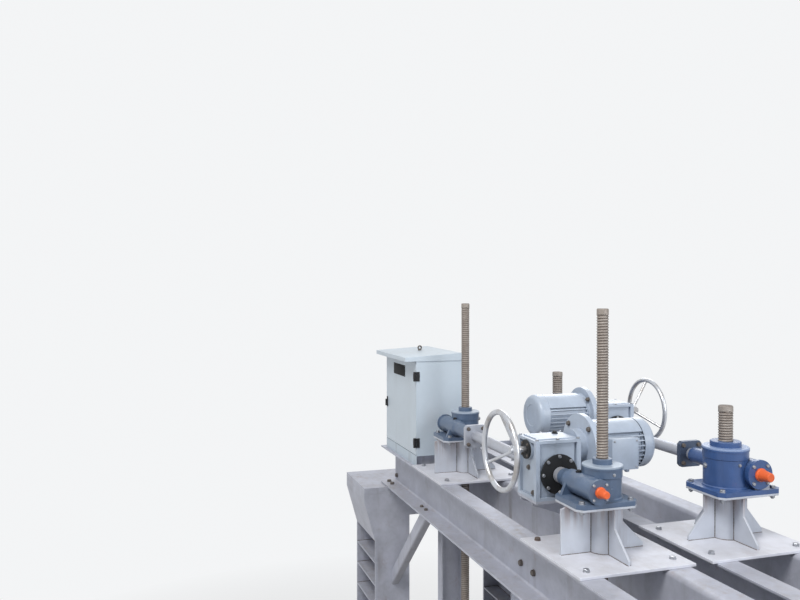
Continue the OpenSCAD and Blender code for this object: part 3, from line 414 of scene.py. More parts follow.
finish = {
    "steel": weathered("zincCoatedSteel", steelLook),
    "gate": weathered("gateSteel", gateLook),
    "plate": weathered("palePlatePaint", plateLook),
    "pedestal": weathered("pedestalPaint", pedestalLook),
    "jackGrey": weathered("slateJackPaint", jackFrontLook),
    "jackBlue": weathered("blueJackPaint", jackRearLook),
    "gear": weathered("paleGearPaint", gearLook),
    "black": weathered("blackCoverPaint", blackLook),
    "cabinet": weathered("cabinetPowderCoat", cabinetLook),
    "shaft": weathered("dullShaftSteel", shaftLook),
    "shaftRear": weathered("rearShaftSteel", shaftRearLook),
    "plinth": weathered("plinthSteel", plinthLook),
    "label": weathered("blackLabel", labelLook),
    "orange": weathered("orangeCapPlastic", orangeLook),
    "rubber": weathered("sealRubber", rubberLook),
    "zinc": weathered("zincBolt", zincLook),
    "rusty": weathered("rustyBolt", rustyLook),
    "weld": weathered("weldBead", weldLook),
    "wheel": polishedSteel("polishedWheelSteel"),
}
print("materials made:", len(finish))


# CAD solids with eased edges


def bodyOf(node):
    bodies = frame["record"]["behaviour"]["bodies"]
    return next(body for body, members in bodies.items() if node in members)


def camel(node):
    # a piece's name; a node of one word gets a second, or its piece would take the node's name
    words = node.split("_")
    return words[0] + ("".join(w.capitalize() for w in words[1:]) or "Steel")


def link(name, mesh, material, body, replacing=()):
    piece = bpy.data.objects.new(name, mesh)
    bpy.context.scene.collection.objects.link(piece)
    mesh.materials.clear()
    mesh.materials.append(material)
    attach(piece, body)
    if replacing:
        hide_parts(*replacing)
    return piece


def settled(piece, name):
    # the evaluated shape as a plain mesh, and the working object gone
    graph = bpy.context.evaluated_depsgraph_get()
    mesh = bpy.data.meshes.new_from_object(piece.evaluated_get(graph))
    mesh.name = name
    bpy.data.objects.remove(piece)
    return mesh


def eased(node, width, steps=2):
    # merged copy of a node with rounded edges; flat faces stay flat
    made = bmesh.new()
    made.from_mesh(frame["nodes"][node].data)
    bmesh.ops.remove_doubles(made, verts=made.verts, dist=2e-5)
    mesh = bpy.data.meshes.new(node + "Work")
    made.to_mesh(mesh)
    made.free()
    for face in mesh.polygons:
        face.use_smooth = True
    work = bpy.data.objects.new(node + "Work", mesh)
    bpy.context.scene.collection.objects.link(work)
    bevel = work.modifiers.new("easedEdges", "BEVEL")
    bevel.width = width
    bevel.segments = steps
    bevel.limit_method = "ANGLE"
    bevel.angle_limit = math.radians(30)
    bevel.miter_outer = "MITER_ARC"
    weigh = work.modifiers.new("flatFaces", "WEIGHTED_NORMAL")
    weigh.weight = 90
    return settled(work, node)


dressing = [
    # material, edge width, nodes
    ("steel", 0.0015, [
        "beam_front_outer", "beam_front_inner", "beam_rear_inner", "beam_rear_outer", "pair_diaphragms",
        "crosshead_near", "crosshead_far", "knee_braces", "gearbox_shelf_front", "gearbox_shelf_rear",
        "guides_front", "guides_rear", "guide_heads", "sills", "lintels",
        "column_near_front", "column_near_rear", "column_far_front", "column_far_rear"]),
    ("gate", 0.0015, ["gate_leaf_front", "gate_leaf_rear"]),
    ("plate", 0.0020, ["jack_plates_front", "jack_plates_rear"]),
    ("pedestal", 0.0015, ["pedestals_front", "pedestals_rear"]),
    ("jackGrey", 0.0030, ["jacks_front"]),
    ("jackBlue", 0.0030, ["jacks_rear"]),
    ("gear", 0.0030, ["gearbox_front", "gearbox_rear"]),
    ("black", 0.0015, ["gearbox_covers", "door_knuckles", "cabinet_hinges"]),
    ("orange", 0.0020, ["shaft_caps"]),
    ("shaft", 0.0020, ["drive_shaft_front"]),
    ("shaftRear", 0.0020, ["drive_shaft_rear"]),
    ("plinth", 0.0010, ["cabinet_plinth"]),
    ("cabinet", 0.0030, ["cabinet_roof"]),
    ("rubber", 0.0030, ["gate_seal_front", "gate_seal_rear"]),
]
sheetSteel = {"edge": 0.0006, "nodes": ["cabinet_shell", "cabinet_door"]}

for material, width, nodes in dressing:
    for node in nodes:
        link(camel(node), eased(node, width), finish[material], bodyOf(node), [node])
for node in sheetSteel["nodes"]:
    mesh = eased(node, sheetSteel["edge"], 1)
    link(camel(node), mesh, finish["cabinet"], bodyOf(node), [node])
print("solids dressed")


# mesh helpers

def lathe(made, profile, origin, axis, steps=24):
    # closed turned shape: profile is (radius, distance along the axis), from axis to axis
    turn = Vector(axis).to_track_quat("Z", "Y").to_matrix()
    origin = Vector(origin)
    rings = []
    for reach, along in profile:
        if reach == 0:
            rings.append([made.verts.new(origin + turn @ Vector((0, 0, along)))])
        else:
            rings.append([made.verts.new(origin + turn @ Vector((
                reach * math.cos(2 * math.pi * i / steps), reach * math.sin(2 * math.pi * i / steps), along)))
                for i in range(steps)])
    for lower, upper in zip(rings, rings[1:]):
        for i in range(steps):
            j = (i + 1) % steps
            if len(lower) == 1:
                made.faces.new([lower[0], upper[i], upper[j]])
            elif len(upper) == 1:
                made.faces.new([lower[i], lower[j], upper[0]])
            else:
                made.faces.new([lower[i], lower[j], upper[j], upper[i]])


def roundedBox(made, low, high, edge):
    corners = [made.verts.new((low[0] if i & 1 else high[0], low[1] if i & 2 else high[1],
                               low[2] if i & 4 else high[2])) for i in range(8)]
    sides = [(0, 1, 3, 2), (4, 6, 7, 5), (0, 4, 5, 1), (2, 3, 7, 6), (0, 2, 6, 4), (1, 5, 7, 3)]
    faces = [made.faces.new([corners[i] for i in side]) for side in sides]
    edges = list({e for f in faces for e in f.edges})
    bmesh.ops.bevel(made, geom=edges, offset=edge, segments=2, affect="EDGES", profile=0.5)


def torus(made, centre, axis, reach, tube, steps=28, sides=10):
    turn = Vector(axis).to_track_quat("Z", "Y").to_matrix()
    rows = []
    for i in range(steps):
        around = 2 * math.pi * i / steps
        row = []
        for j in range(sides):
            spin = 2 * math.pi * j / sides
            out = reach + tube * math.cos(spin)
            row.append(made.verts.new(Vector(centre) + turn @ Vector((
                out * math.cos(around), out * math.sin(around), tube * math.sin(spin)))))
        rows.append(row)
    for i in range(steps):
        for j in range(sides):
            made.faces.new([rows[i][j], rows[(i + 1) % steps][j], rows[(i + 1) % steps][(j + 1) % sides],
                            rows[i][(j + 1) % sides]])


def closed(made, name, sharp=30.0):
    bmesh.ops.recalc_face_normals(made, faces=made.faces)
    mesh = bpy.data.meshes.new(name)
    made.to_mesh(mesh)
    made.free()
    mesh.shade_smooth()
    mesh.set_sharp_from_angle(angle=math.radians(sharp))
    return mesh


# threaded stems

threadCut = {"pitch": 0.014, "depth": 0.0035, "steps": 24, "crest": 0.45, "flank": 0.12,
             "tipLength": 0.016, "tipBevel": 0.004, "sharp": 28.0}


def threadMesh(name, places, low, high, radius):
    cut = threadCut
    pitch, steps = cut["pitch"], cut["steps"]
    turns = int((high - low - cut["tipLength"]) / pitch) - 1
    half = cut["crest"] / 2
    core = radius - cut["depth"]
    profile = [(core, 0.0), (core, 0.5 - half), (radius, 0.5 - half + cut["flank"]), (radius, 0.5 + half)]
    made = bmesh.new()
    for placeX, placeY in places:
        rows = []
        for step in range(turns * steps + 1):
            angle = 2 * math.pi * step / steps
            base = low + pitch * step / steps
            rows.append([made.verts.new((placeX + reach * math.cos(angle), placeY + reach * math.sin(angle),
                                         base + share * pitch)) for reach, share in profile])
        for step in range(turns * steps):
            for k in range(3):
                made.faces.new([rows[step][k], rows[step + 1][k], rows[step + 1][k + 1], rows[step][k + 1]])
            if step + steps < turns * steps:
                made.faces.new([rows[step][3], rows[step + 1][3], rows[step + 1 + steps][0],
                                rows[step + steps][0]])
        bmesh.ops.holes_fill(made, edges=[e for e in made.edges if e.is_boundary])
        top = low + turns * pitch
        bevel = cut["tipBevel"]
        lathe(made, [(0, 0), (core, 0), (radius, cut["depth"]), (radius, high - top - bevel),
                     (radius - bevel, high - top), (0, high - top)], (placeX, placeY, top), (0, 0, 1), steps)
    return closed(made, name, cut["sharp"])


hoists = {}
joints = {joint["name"]: joint for joint in frame["joints"]}
for side in ("front", "rear"):
    low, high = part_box("stems_" + side)
    radius = (high.y - low.y) / 2
    wheelPlace = Vector(joints[side + "_handwheel_turn"]["pos_m"])
    shaftPlace = Vector(joints[side + "_drive_shaft_turn"]["pos_m"])
    turn = 1 if side == "front" else -1
    hoists[side] = {
        "turn": turn,
        "stemX": high.x - radius,
        "stemY": -abs((high.y + low.y) / 2),
        "stemRadius": radius,
        "stemLow": low.z,
        "stemHigh": high.z,
        "gearX": wheelPlace.x * turn,
        "wormY": -abs(shaftPlace.y),
        "wormZ": shaftPlace.z,
        "inputZ": wheelPlace.z,
        "deck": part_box("jack_plates_" + side)[1].z,
        "head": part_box("pedestals_" + side)[1].z,
    }

for side, hoist in hoists.items():
    y = hoist["stemY"] * hoist["turn"]
    name = "stems" + side.capitalize()
    mesh = threadMesh(name, [(-hoist["stemX"], y), (hoist["stemX"], y)], hoist["stemLow"],
                      hoist["stemHigh"], hoist["stemRadius"])
    steel = threadSteel("threadSteel" + side.capitalize(), hoist["stemX"], y, hoist["stemRadius"],
                        threadCut["depth"])
    link(name, mesh, steel, side + "_gate", ["stems_" + side])
print("stems threaded")


# Geometry Nodes trees

def openTree(name, inputs):
    tree = bpy.data.node_groups.new(name, "GeometryNodeTree")
    tree.interface.new_socket("Geometry", in_out="INPUT", socket_type="NodeSocketGeometry")
    tree.interface.new_socket("Geometry", in_out="OUTPUT", socket_type="NodeSocketGeometry")
    kinds = {int: "NodeSocketInt", float: "NodeSocketFloat"}
    for label, value in inputs.items():
        socket = tree.interface.new_socket(label, in_out="INPUT", socket_type=kinds[type(value)])
        socket.default_value = value
    tree.interface.new_socket("Finish", in_out="INPUT", socket_type="NodeSocketMaterial")
    start = tree.nodes.new("NodeGroupInput")
    return tree, {socket.name: Wire(tree, socket) for socket in start.outputs}


def closeTree(tree, wires, parts):
    joined = parts[0].node("GeometryNodeJoinGeometry", None, {0: parts})
    real = joined.node("GeometryNodeRealizeInstances", None, {0: joined})
    painted = real.node("GeometryNodeSetMaterial", None, {0: real, "Material": wires["Finish"]})
    tree.links.new(painted.socket, tree.nodes.new("NodeGroupOutput").inputs[0])
    return tree


def grown(name, mesh, tree, inputs, material):
    work = bpy.data.objects.new(name, mesh)
    bpy.context.scene.collection.objects.link(work)
    grow = work.modifiers.new("grow", "NODES")
    grow.node_group = tree
    values = {**inputs, "Finish": material}
    for item in tree.interface.items_tree:
        if item.in_out == "INPUT" and item.name in values:
            grow[item.identifier] = values[item.name]
    return settled(work, name)


def prism(sides, radius, low, high, cut, taper):
    # closed upright prism with the edge of its top face eased
    body = radius.node("GeometryNodeMeshCylinder", {"fill_type": "NGON"},
                       {"Vertices": sides, "Radius": radius, "Depth": high - low - cut})
    top = body.other("Top")
    raised = body.node("GeometryNodeExtrudeMesh", None,
                       {"Mesh": body, "Selection": top, "Offset Scale": cut, "Individual": False})
    shut = raised.node("GeometryNodeScaleElements", None,
                       {"Geometry": raised, "Selection": raised.other("Top"), "Scale": taper})
    lift = shut.vector(Z=(high + low - cut) / 2)
    return shut.node("GeometryNodeTransform", None, {"Geometry": shut, "Translation": lift})


boltKinds = {"head": 0.0, "nut": 1.0, "screw": 2.0, "plug": 3.0}
boltSet = {
    # in thread diameters
    "Washer Radius": 0.95, "Washer Height": 0.16, "Hexagon Radius": 0.87, "Head Height": 0.66,
    "Nut Height": 0.86, "Stud Radius": 0.48, "Stud Height": 1.40, "Screw Radius": 0.80,
    "Screw Height": 0.50, "Collar Radius": 1.10, "Twist Seed": 5,
}


def boltTree():
    # points with facing, size and kind become washers with heads, nuts, screws or plugs
    tree, wires = openTree("boltField", boltSet)
    points = wires["Geometry"]
    washerHigh, hexRadius = wires["Washer Height"], wires["Hexagon Radius"]
    washer = prism(18, wires["Washer Radius"], 0.0, washerHigh, 0.05, 0.95)
    head = prism(6, hexRadius, washerHigh, washerHigh + wires["Head Height"], 0.12, 0.88)
    nut = prism(6, hexRadius, washerHigh, washerHigh + wires["Nut Height"], 0.12, 0.88)
    stud = prism(12, wires["Stud Radius"], washerHigh, wires["Stud Height"], 0.12, 0.78)
    screw = prism(14, wires["Screw Radius"], 0.0, wires["Screw Height"], 0.16, 0.80)
    recess = prism(6, wires["Stud Radius"], 0.05, wires["Screw Height"] + 0.04, 0.02, 0.92)
    collar = prism(18, wires["Collar Radius"], 0.0, washerHigh * 2.0, 0.06, 0.94)
    plugHead = prism(6, hexRadius, washerHigh, wires["Nut Height"], 0.12, 0.86)
    shapes = {"head": [washer, head], "nut": [washer, nut, stud], "screw": [screw, recess],
              "plug": [collar, plugHead]}
    facing = points.attribute("facing", "FLOAT_VECTOR")
    size, kind = points.attribute("size"), points.attribute("kind")
    aimed = facing.node("FunctionNodeAlignRotationToVector", {"axis": "Z"}, {"Vector": facing})
    spin = facing.random(0.0, math.pi / 3, wires["Twist Seed"])
    twist = spin.node("FunctionNodeAxisAngleToRotation", None, {"Axis": (0, 0, 1), "Angle": spin})
    turned = twist.node("FunctionNodeRotateRotation", {"rotation_space": "LOCAL"},
                        {"Rotation": aimed, "Rotate By": twist})
    placed = []
    for name, parts in shapes.items():
        shape = parts[0].node("GeometryNodeJoinGeometry", None, {0: parts})
        chosen = kind.node("ShaderNodeMath", {"operation": "COMPARE"}, {0: kind, 1: boltKinds[name], 2: 0.1})
        placed.append(shape.node("GeometryNodeInstanceOnPoints", None, {
            "Points": points, "Selection": chosen, "Instance": shape, "Rotation": turned, "Scale": size}))
    return closeTree(tree, wires, placed)


weldSet = {"Bead Radius": 0.004, "Ripple Pitch": 0.0035, "Ripple": 0.20, "Sides": 6, "Ripple Seed": 11}


def weldTree():
    # edges become rippled weld beads
    tree, wires = openTree("weldBead", weldSet)
    path = wires["Geometry"].node("GeometryNodeMeshToCurve", None, {0: wires["Geometry"]})
    path = path.node("GeometryNodeResampleCurve", {"mode": "LENGTH"},
                     {"Curve": path, "Length": wires["Ripple Pitch"]})
    swell = path.random(1 - wires["Ripple"], 1 + wires["Ripple"], wires["Ripple Seed"])
    ring = path.circle(wires["Sides"], wires["Bead Radius"])
    bead = path.node("GeometryNodeCurveToMesh", None,
                     {"Curve": path, "Profile Curve": ring, "Scale": swell, "Fill Caps": True})
    return closeTree(tree, wires, [bead])


wheelSet = {"Rim Radius": 0.205, "Rim Tube": 0.015, "Dish": 0.110, "Spokes": 3, "Spoke Tube": 0.009,
            "Spoke Foot": 0.018, "Spoke Level": 0.022, "First Spoke": math.pi / 2}


def wheelTree():
    # the hub comes in; rim and dished spokes are added about +Z
    tree, wires = openTree("spokedWheel", wheelSet)
    hub = wires["Geometry"]
    path = hub.circle(112, wires["Rim Radius"])
    profile = hub.circle(20, wires["Rim Tube"])
    rim = path.node("GeometryNodeCurveToMesh", None, {"Curve": path, "Profile Curve": profile})
    lift = hub.vector(Z=wires["Dish"])
    rim = rim.node("GeometryNodeTransform", None, {"Geometry": rim, "Translation": lift})
    foot = hub.vector(X=wires["Spoke Foot"], Z=wires["Spoke Level"])
    tip = hub.vector(X=wires["Rim Radius"], Z=wires["Dish"])
    line = hub.node("GeometryNodeCurvePrimitiveLine", None, {"Start": foot, "End": tip})
    thin = hub.circle(16, wires["Spoke Tube"])
    line = line.node("GeometryNodeResampleCurve", None, {"Curve": line, "Count": 24})
    along = hub.node("GeometryNodeSplineParameter")
    nearEnd = along.math("ABSOLUTE", along * 2.0 - 1.0)
    flare = nearEnd.ramp(0.86, 1.0) ** 2.0 * 0.35 + 1.0
    spoke = line.node("GeometryNodeCurveToMesh", None,
                      {"Curve": line, "Profile Curve": thin, "Scale": flare, "Fill Caps": True})
    points = hub.node("GeometryNodePoints", None, {"Count": wires["Spokes"]})
    index = hub.node("GeometryNodeInputIndex")
    angle = index * (2 * math.pi) / wires["Spokes"] + wires["First Spoke"]
    turned = hub.vector(Z=angle)
    spokes = points.node("GeometryNodeInstanceOnPoints", None,
                         {"Points": points, "Instance": spoke, "Rotation": turned})
    return closeTree(tree, wires, [hub, rim, spokes])


finSet = {"Fins": 20, "Core Radius": 0.112, "Fin Height": 0.022, "Fin Thickness": 0.0095,
          "Fin Length": 0.281, "Fin Start": 0.036, "First Fin": math.radians(-26),
          "Fin Step": math.radians(11.92), "Taper": 0.35}


def finTree():
    # the motor's body comes in; tapered cooling fins are added round part of it, along +Z
    tree, wires = openTree("coolingFins", finSet)
    body = wires["Geometry"]
    size = body.vector(X=wires["Fin Height"], Y=wires["Fin Thickness"], Z=wires["Fin Length"])
    fin = body.node("GeometryNodeMeshCube", None, {"Size": size})
    place = body.node("GeometryNodeInputPosition")
    share = place.axis(0) / wires["Fin Height"] + 0.5
    thin = place.axis(1) * (1 - share * wires["Taper"])
    out = place.axis(0) + wires["Core Radius"] + wires["Fin Height"] / 2
    up = place.axis(2) + wires["Fin Start"] + wires["Fin Length"] / 2
    moved = body.vector(X=out, Y=thin, Z=up)
    fin = fin.node("GeometryNodeSetPosition", None, {"Geometry": fin, "Position": moved})
    points = body.node("GeometryNodePoints", None, {"Count": wires["Fins"]})
    index = body.node("GeometryNodeInputIndex")
    turned = body.vector(Z=index * wires["Fin Step"] + wires["First Fin"])
    fins = points.node("GeometryNodeInstanceOnPoints", None,
                       {"Points": points, "Instance": fin, "Rotation": turned})
    return closeTree(tree, wires, [body, fins])


trees = {"bolts": boltTree(), "welds": weldTree(), "wheel": wheelTree(), "fins": finTree()}
print("node trees built:", len(trees))


def world(hoist, x, y, z):
    # a point or direction of a hoist's own frame, in the object's frame
    return Vector((hoist["turn"] * x, hoist["turn"] * y, z))


def placed(mesh, hoist, origin, across, down, along):
    # moves a mesh drawn about +Z to a place in a hoist's frame
    turn = Matrix((world(hoist, *across), world(hoist, *down), world(hoist, *along))).transposed()
    mesh.transform(Matrix.Translation(world(hoist, *origin)) @ turn.to_4x4())
    return mesh


fixings = []
beads = []


def fix(body, paint, kind, size, facing, places, hoist=None):
    for place in places:
        fixings.append({
            "body": body, "paint": paint, "kind": boltKinds[kind], "size": size,
            "place": world(hoist, *place) if hoist else Vector(place),
            "facing": world(hoist, *facing) if hoist else Vector(facing)})


def weld(body, radius, points, hoist=None, ring=False):
    beads.append({"body": body, "radius": radius, "ring": ring,
                  "points": [world(hoist, *p) if hoist else Vector(p) for p in points]})


def through(body, paint, size, facing, heads, nuts, hoist=None):
    # bolts with their heads on one side and their nuts on the other
    fix(body, paint, "head", size, facing, heads, hoist)
    fix(body, paint, "nut", size, tuple(-part for part in facing), nuts, hoist)


# handwheels

wheelShape = {"hubRadius": 0.028, "hubLength": 0.044, "nutRadius": 0.019, "nutHeight": 0.010,
              "shaftRadius": 0.017, "standOff": 0.180, "shaftIn": 0.100,
              "dish": {"front": 0.110, "rear": 0.132}}

for side, hoist in hoists.items():
    shape = wheelShape
    made = bmesh.new()
    r, length, shaft = shape["hubRadius"], shape["hubLength"], shape["shaftRadius"]
    nut = shape["nutRadius"]
    lathe(made, [(0, -shape["shaftIn"]), (shaft, -shape["shaftIn"]), (shaft, 0), (r - 0.002, 0), (r, 0.002),
                 (r, 0.014), (r * 0.93, 0.018), (r * 0.93, length - 0.006), (r * 0.88, length - 0.001),
                 (nut * 1.12, length), (nut * 1.12, length + 0.003), (nut, length + 0.003),
                 (nut * 0.95, length + shape["nutHeight"]), (0, length + shape["nutHeight"])],
          (0, 0, 0), (0, 0, 1), 36)
    hub = closed(made, "hub" + side.capitalize())
    name = "handwheel" + side.capitalize()
    mesh = grown(name, hub, trees["wheel"], {**wheelSet, "Dish": shape["dish"][side]}, finish["wheel"])
    mesh.shade_smooth()
    mesh.set_sharp_from_angle(angle=math.radians(35))
    origin = (hoist["gearX"], hoist["wormY"] - shape["standOff"], hoist["inputZ"])
    placed(mesh, hoist, origin, (1, 0, 0), (0, 0, 1), (0, -1, 0))
    link(name, mesh, finish["wheel"], side + "_handwheel", ["handwheel_" + side])
print("handwheels made")


# motors

motorShape = {
    # radii and distances from the face of the gearbox flange, in metres
    "face": 0.201, "flangeR": 0.175, "flangeT": 0.017, "coreR": 0.114, "bodyEnd": 0.326, "shieldR": 0.122,
    "shieldT": 0.020, "coverR": 0.138, "coverStart": 0.316, "coverEnd": 0.389, "coverRound": 0.030,
    "coverWall": 0.003, "coverColumns": 66, "slotStart": 0.328, "slotEnd": 0.354,
    "slotFrom": 50.0, "slotTo": 130.0, "saddleFrom": -153.0, "saddleTo": -36.0, "saddleR": 0.1365,
    "saddleStart": 0.040, "saddleEnd": 0.3148,
    "boxLow": (0.104, -0.0605, 0.077), "boxHigh": (0.170, 0.1045, 0.237), "lidT": 0.016,
    "lidLip": 0.0025, "boltCircle": 0.150, "boltSize": 0.016,
}


def saddle(made, shape):
    # smooth sector along the top of the motor
    steps = 32
    start, end = math.radians(shape["saddleFrom"]), math.radians(shape["saddleTo"])
    rows = []
    for i in range(steps + 1):
        angle = start + (end - start) * i / steps
        inner, outer = shape["coreR"] - 0.004, shape["saddleR"]
        rows.append([made.verts.new((reach * math.cos(angle), reach * math.sin(angle), z)) for reach, z in (
            (inner, shape["saddleStart"]), (outer - 0.004, shape["saddleStart"]),
            (outer, shape["saddleStart"] + 0.004), (outer, shape["saddleEnd"] - 0.004),
            (outer - 0.004, shape["saddleEnd"]), (inner, shape["saddleEnd"]))])
    for i in range(steps):
        for k in range(6):
            j = (k + 1) % 6
            made.faces.new([rows[i][k], rows[i + 1][k], rows[i + 1][j], rows[i][j]])
    made.faces.new(rows[0])
    made.faces.new(list(reversed(rows[-1])))


def fanCover(name, shape):
    # thin shell with real air slots underneath
    r, curve, end = shape["coverR"], shape["coverRound"], shape["coverEnd"]
    profile = [(r, shape["coverStart"]), (r, shape["slotStart"]), (r, shape["slotEnd"]),
               (r, end - curve)]
    for i in range(1, 7):
        angle = math.pi / 2 * i / 6
        profile.append((r - curve + curve * math.cos(angle), end - curve + curve * math.sin(angle)))
    profile += [(r * 0.52, end), (r * 0.50, end - 0.002)]
    columns = shape["coverColumns"]
    made = bmesh.new()
    rings = [[made.verts.new((reach * math.cos(2 * math.pi * i / columns),
                              reach * math.sin(2 * math.pi * i / columns), z)) for i in range(columns)]
             for reach, z in profile]
    for row, (lower, upper) in enumerate(zip(rings, rings[1:])):
        for i in range(columns):
            degrees = (360.0 * i / columns + 180) % 360 - 180
            slotted = row == 1 and i % 2 == 0 and shape["slotFrom"] <= degrees <= shape["slotTo"]
            if not slotted:
                j = (i + 1) % columns
                made.faces.new([lower[i], lower[j], upper[j], upper[i]])
    made.faces.new(rings[-1])
    mesh = bpy.data.meshes.new(name)
    made.to_mesh(mesh)
    made.free()
    work = bpy.data.objects.new(name, mesh)
    bpy.context.scene.collection.objects.link(work)
    wall = work.modifiers.new("wall", "SOLIDIFY")
    wall.thickness = shape["coverWall"]
    wall.offset = -1
    return settled(work, name)


for side, hoist in hoists.items():
    shape = motorShape
    name = "motor" + side.capitalize()
    made = bmesh.new()
    core, flange, shield, stop = shape["coreR"], shape["flangeR"], shape["shieldR"], shape["bodyEnd"]
    lathe(made, [(0, 0), (flange, 0), (flange, shape["flangeT"] - 0.003), (flange - 0.003, shape["flangeT"]),
                 (shield + 0.012, shape["flangeT"]), (shield, shape["flangeT"] + 0.008),
                 (shield, shape["flangeT"] + shape["shieldT"]), (core, shape["flangeT"] + shape["shieldT"]),
                 (core, stop - shape["shieldT"]), (shield, stop - shape["shieldT"]),
                 (shield, stop - 0.002), (shield - 0.004, stop), (0, stop)], (0, 0, 0), (0, 0, 1), 96)
    saddle(made, shape)
    low, high = shape["boxLow"], shape["boxHigh"]
    roundedBox(made, low, high, 0.006)
    lip, lidT = shape["lidLip"], shape["lidT"]
    roundedBox(made, (high[0] + 0.0015, low[1] - lip, low[2] - lip),
               (high[0] + lidT, high[1] + lip, high[2] + lip), 0.005)
    roundedBox(made, (high[0] - 0.004, low[1] + 0.006, low[2] + 0.006),
               (high[0] + 0.004, high[1] - 0.006, high[2] - 0.006), 0.001)
    for z in (0.118, 0.196):
        lathe(made, [(0, 0), (0.017, 0), (0.017, 0.010), (0.014, 0.012), (0.014, 0.024), (0.011, 0.028),
                     (0, 0.028)], (0.138, high[1] - 0.004, z), (0, 1, 0), 18)
    body = closed(made, name)
    mesh = grown(name, body, trees["fins"], finSet, finish["gear"])
    cover = bmesh.new()
    cover.from_mesh(mesh)
    cover.from_mesh(fanCover(name + "Cover", shape))
    mesh = bpy.data.meshes.new(name)
    cover.to_mesh(mesh)
    cover.free()
    mesh.shade_smooth()
    mesh.set_sharp_from_angle(angle=math.radians(32))
    origin = (hoist["gearX"], hoist["wormY"] + shape["face"], hoist["inputZ"])
    frameOf = ((1, 0, 0), (0, 0, -1), (0, 1, 0))
    placed(mesh, hoist, origin, *frameOf)
    link(name, mesh, finish["gear"], "frame", ["motor_" + side])
    made = bmesh.new()
    lathe(made, [(0, stop), (core + 0.008, stop), (core + 0.008, shape["slotEnd"] + 0.02),
                 (0, shape["slotEnd"] + 0.02)], (0, 0, 0), (0, 0, 1), 48)
    drum = placed(closed(made, name + "Fan"), hoist, origin, *frameOf)
    link(name + "Fan", drum, finish["black"], "frame")
    y, x, z = hoist["wormY"] + shape["face"], hoist["gearX"], hoist["inputZ"]
    ringAt = shape["boltCircle"] * math.sqrt(0.5)
    near, far = [[(x + a * ringAt, y + s * shape["flangeT"], z + b * ringAt)
                  for a in (-1, 1) for b in (-1, 1)] for s in (-1, 1)]
    through("frame", "rusty", shape["boltSize"], (0, -1, 0), near, far, hoist)
    lidX = x + high[0] + lidT
    spots = [(lidX, y + low[2] + 0.012 + a * (high[2] - low[2] - 0.024),
              z - (low[1] + 0.012 + b * (high[1] - low[1] - 0.024))) for a in (0, 1) for b in (0, 1)]
    fix("frame", "zinc", "screw", 0.007, (1, 0, 0), spots, hoist)
print("motors made")


# jacks, gearboxes, couplings and plates: what holds them

jackFit = {
    "flangeBolt": 0.016, "flangeT": 0.023, "headT": 0.012, "coverX": 0.144, "coverBolts": 4,
    "front": {"outer": (0.098, -0.175), "inner": (-0.114, -0.165), "back": 0.098, "coverRing": 0.050,
              "coverBolt": 0.008, "housing": 0.056, "crown": 0.099, "tube": 0.068, "shank": 0.116},
    "rear": {"outer": (0.122, -0.195), "inner": (-0.122, -0.195), "back": 0.122, "coverRing": 0.062,
             "coverBolt": 0.010, "housing": 0.071, "crown": 0.113, "tube": 0.071, "shank": 0.138},
    "plateSpots": [(0.21, -0.113), (0.24, -0.610)], "plateBolt": 0.018, "darkBolt": ("front", 1, -1, 0.24),
    "beamFlange": 0.012, "plateT": 0.015,
    "gussetHalf": 0.006, "gussetReach": 0.235, "bead": 0.0035,
    # plugs: thread, then distance in, aside or up, in metres
    "breather": {"size": 0.014, "inset": 0.054, "sunk": 0.001},
    "nipple": {"size": 0.008, "sunk": 0.001, "aside": 0.005, "up": 0.400},
    "filler": {"size": 0.013, "inset": 0.020, "sunk": 0.004, "up": 0.381},
}
gearFit = {
    "halfX": 0.108, "halfY": 0.134, "topZ": 0.180, "padZ": 0.186, "shelfZ": -0.154, "coverX": 0.118,
    "coverRing": 0.095, "coverBolts": 8, "coverBolt": 0.010, "inputRing": 0.042, "inputY": 0.144,
    "inputBolt": 0.008, "wallY": 0.120, "lidX": 0.096, "lidY": 0.122, "lidBolt": 0.010,
    "footX": 0.070, "footY": 0.110, "footBolt": 0.014, "plateGap": 0.305,
    "couplingX": (-0.498, -0.470), "couplingSpot": 0.052, "couplingBolt": 0.014,
    "bracketIn": 0.010, "bracketT": 0.014, "shelfFootY": (-0.202, -0.085), "shelfFootT": 0.016,
    "shelfBoltX": 0.048, "shelfBoltY": -0.125, "bead": 0.004, "inputBolts": 4,
    "breather": {"size": 0.016, "x": -0.045, "y": 0.060},
    "drain": {"size": 0.013, "spots": ((0, 0.022), (0.052, -0.104))},
}


def ringSpots(centre, reach, count, start, across, up):
    turns = [start + 2 * math.pi * i / count for i in range(count)]
    return [tuple(c + reach * (a * math.cos(t) + u * math.sin(t)) for c, a, u in zip(centre, across, up))
            for t in turns]


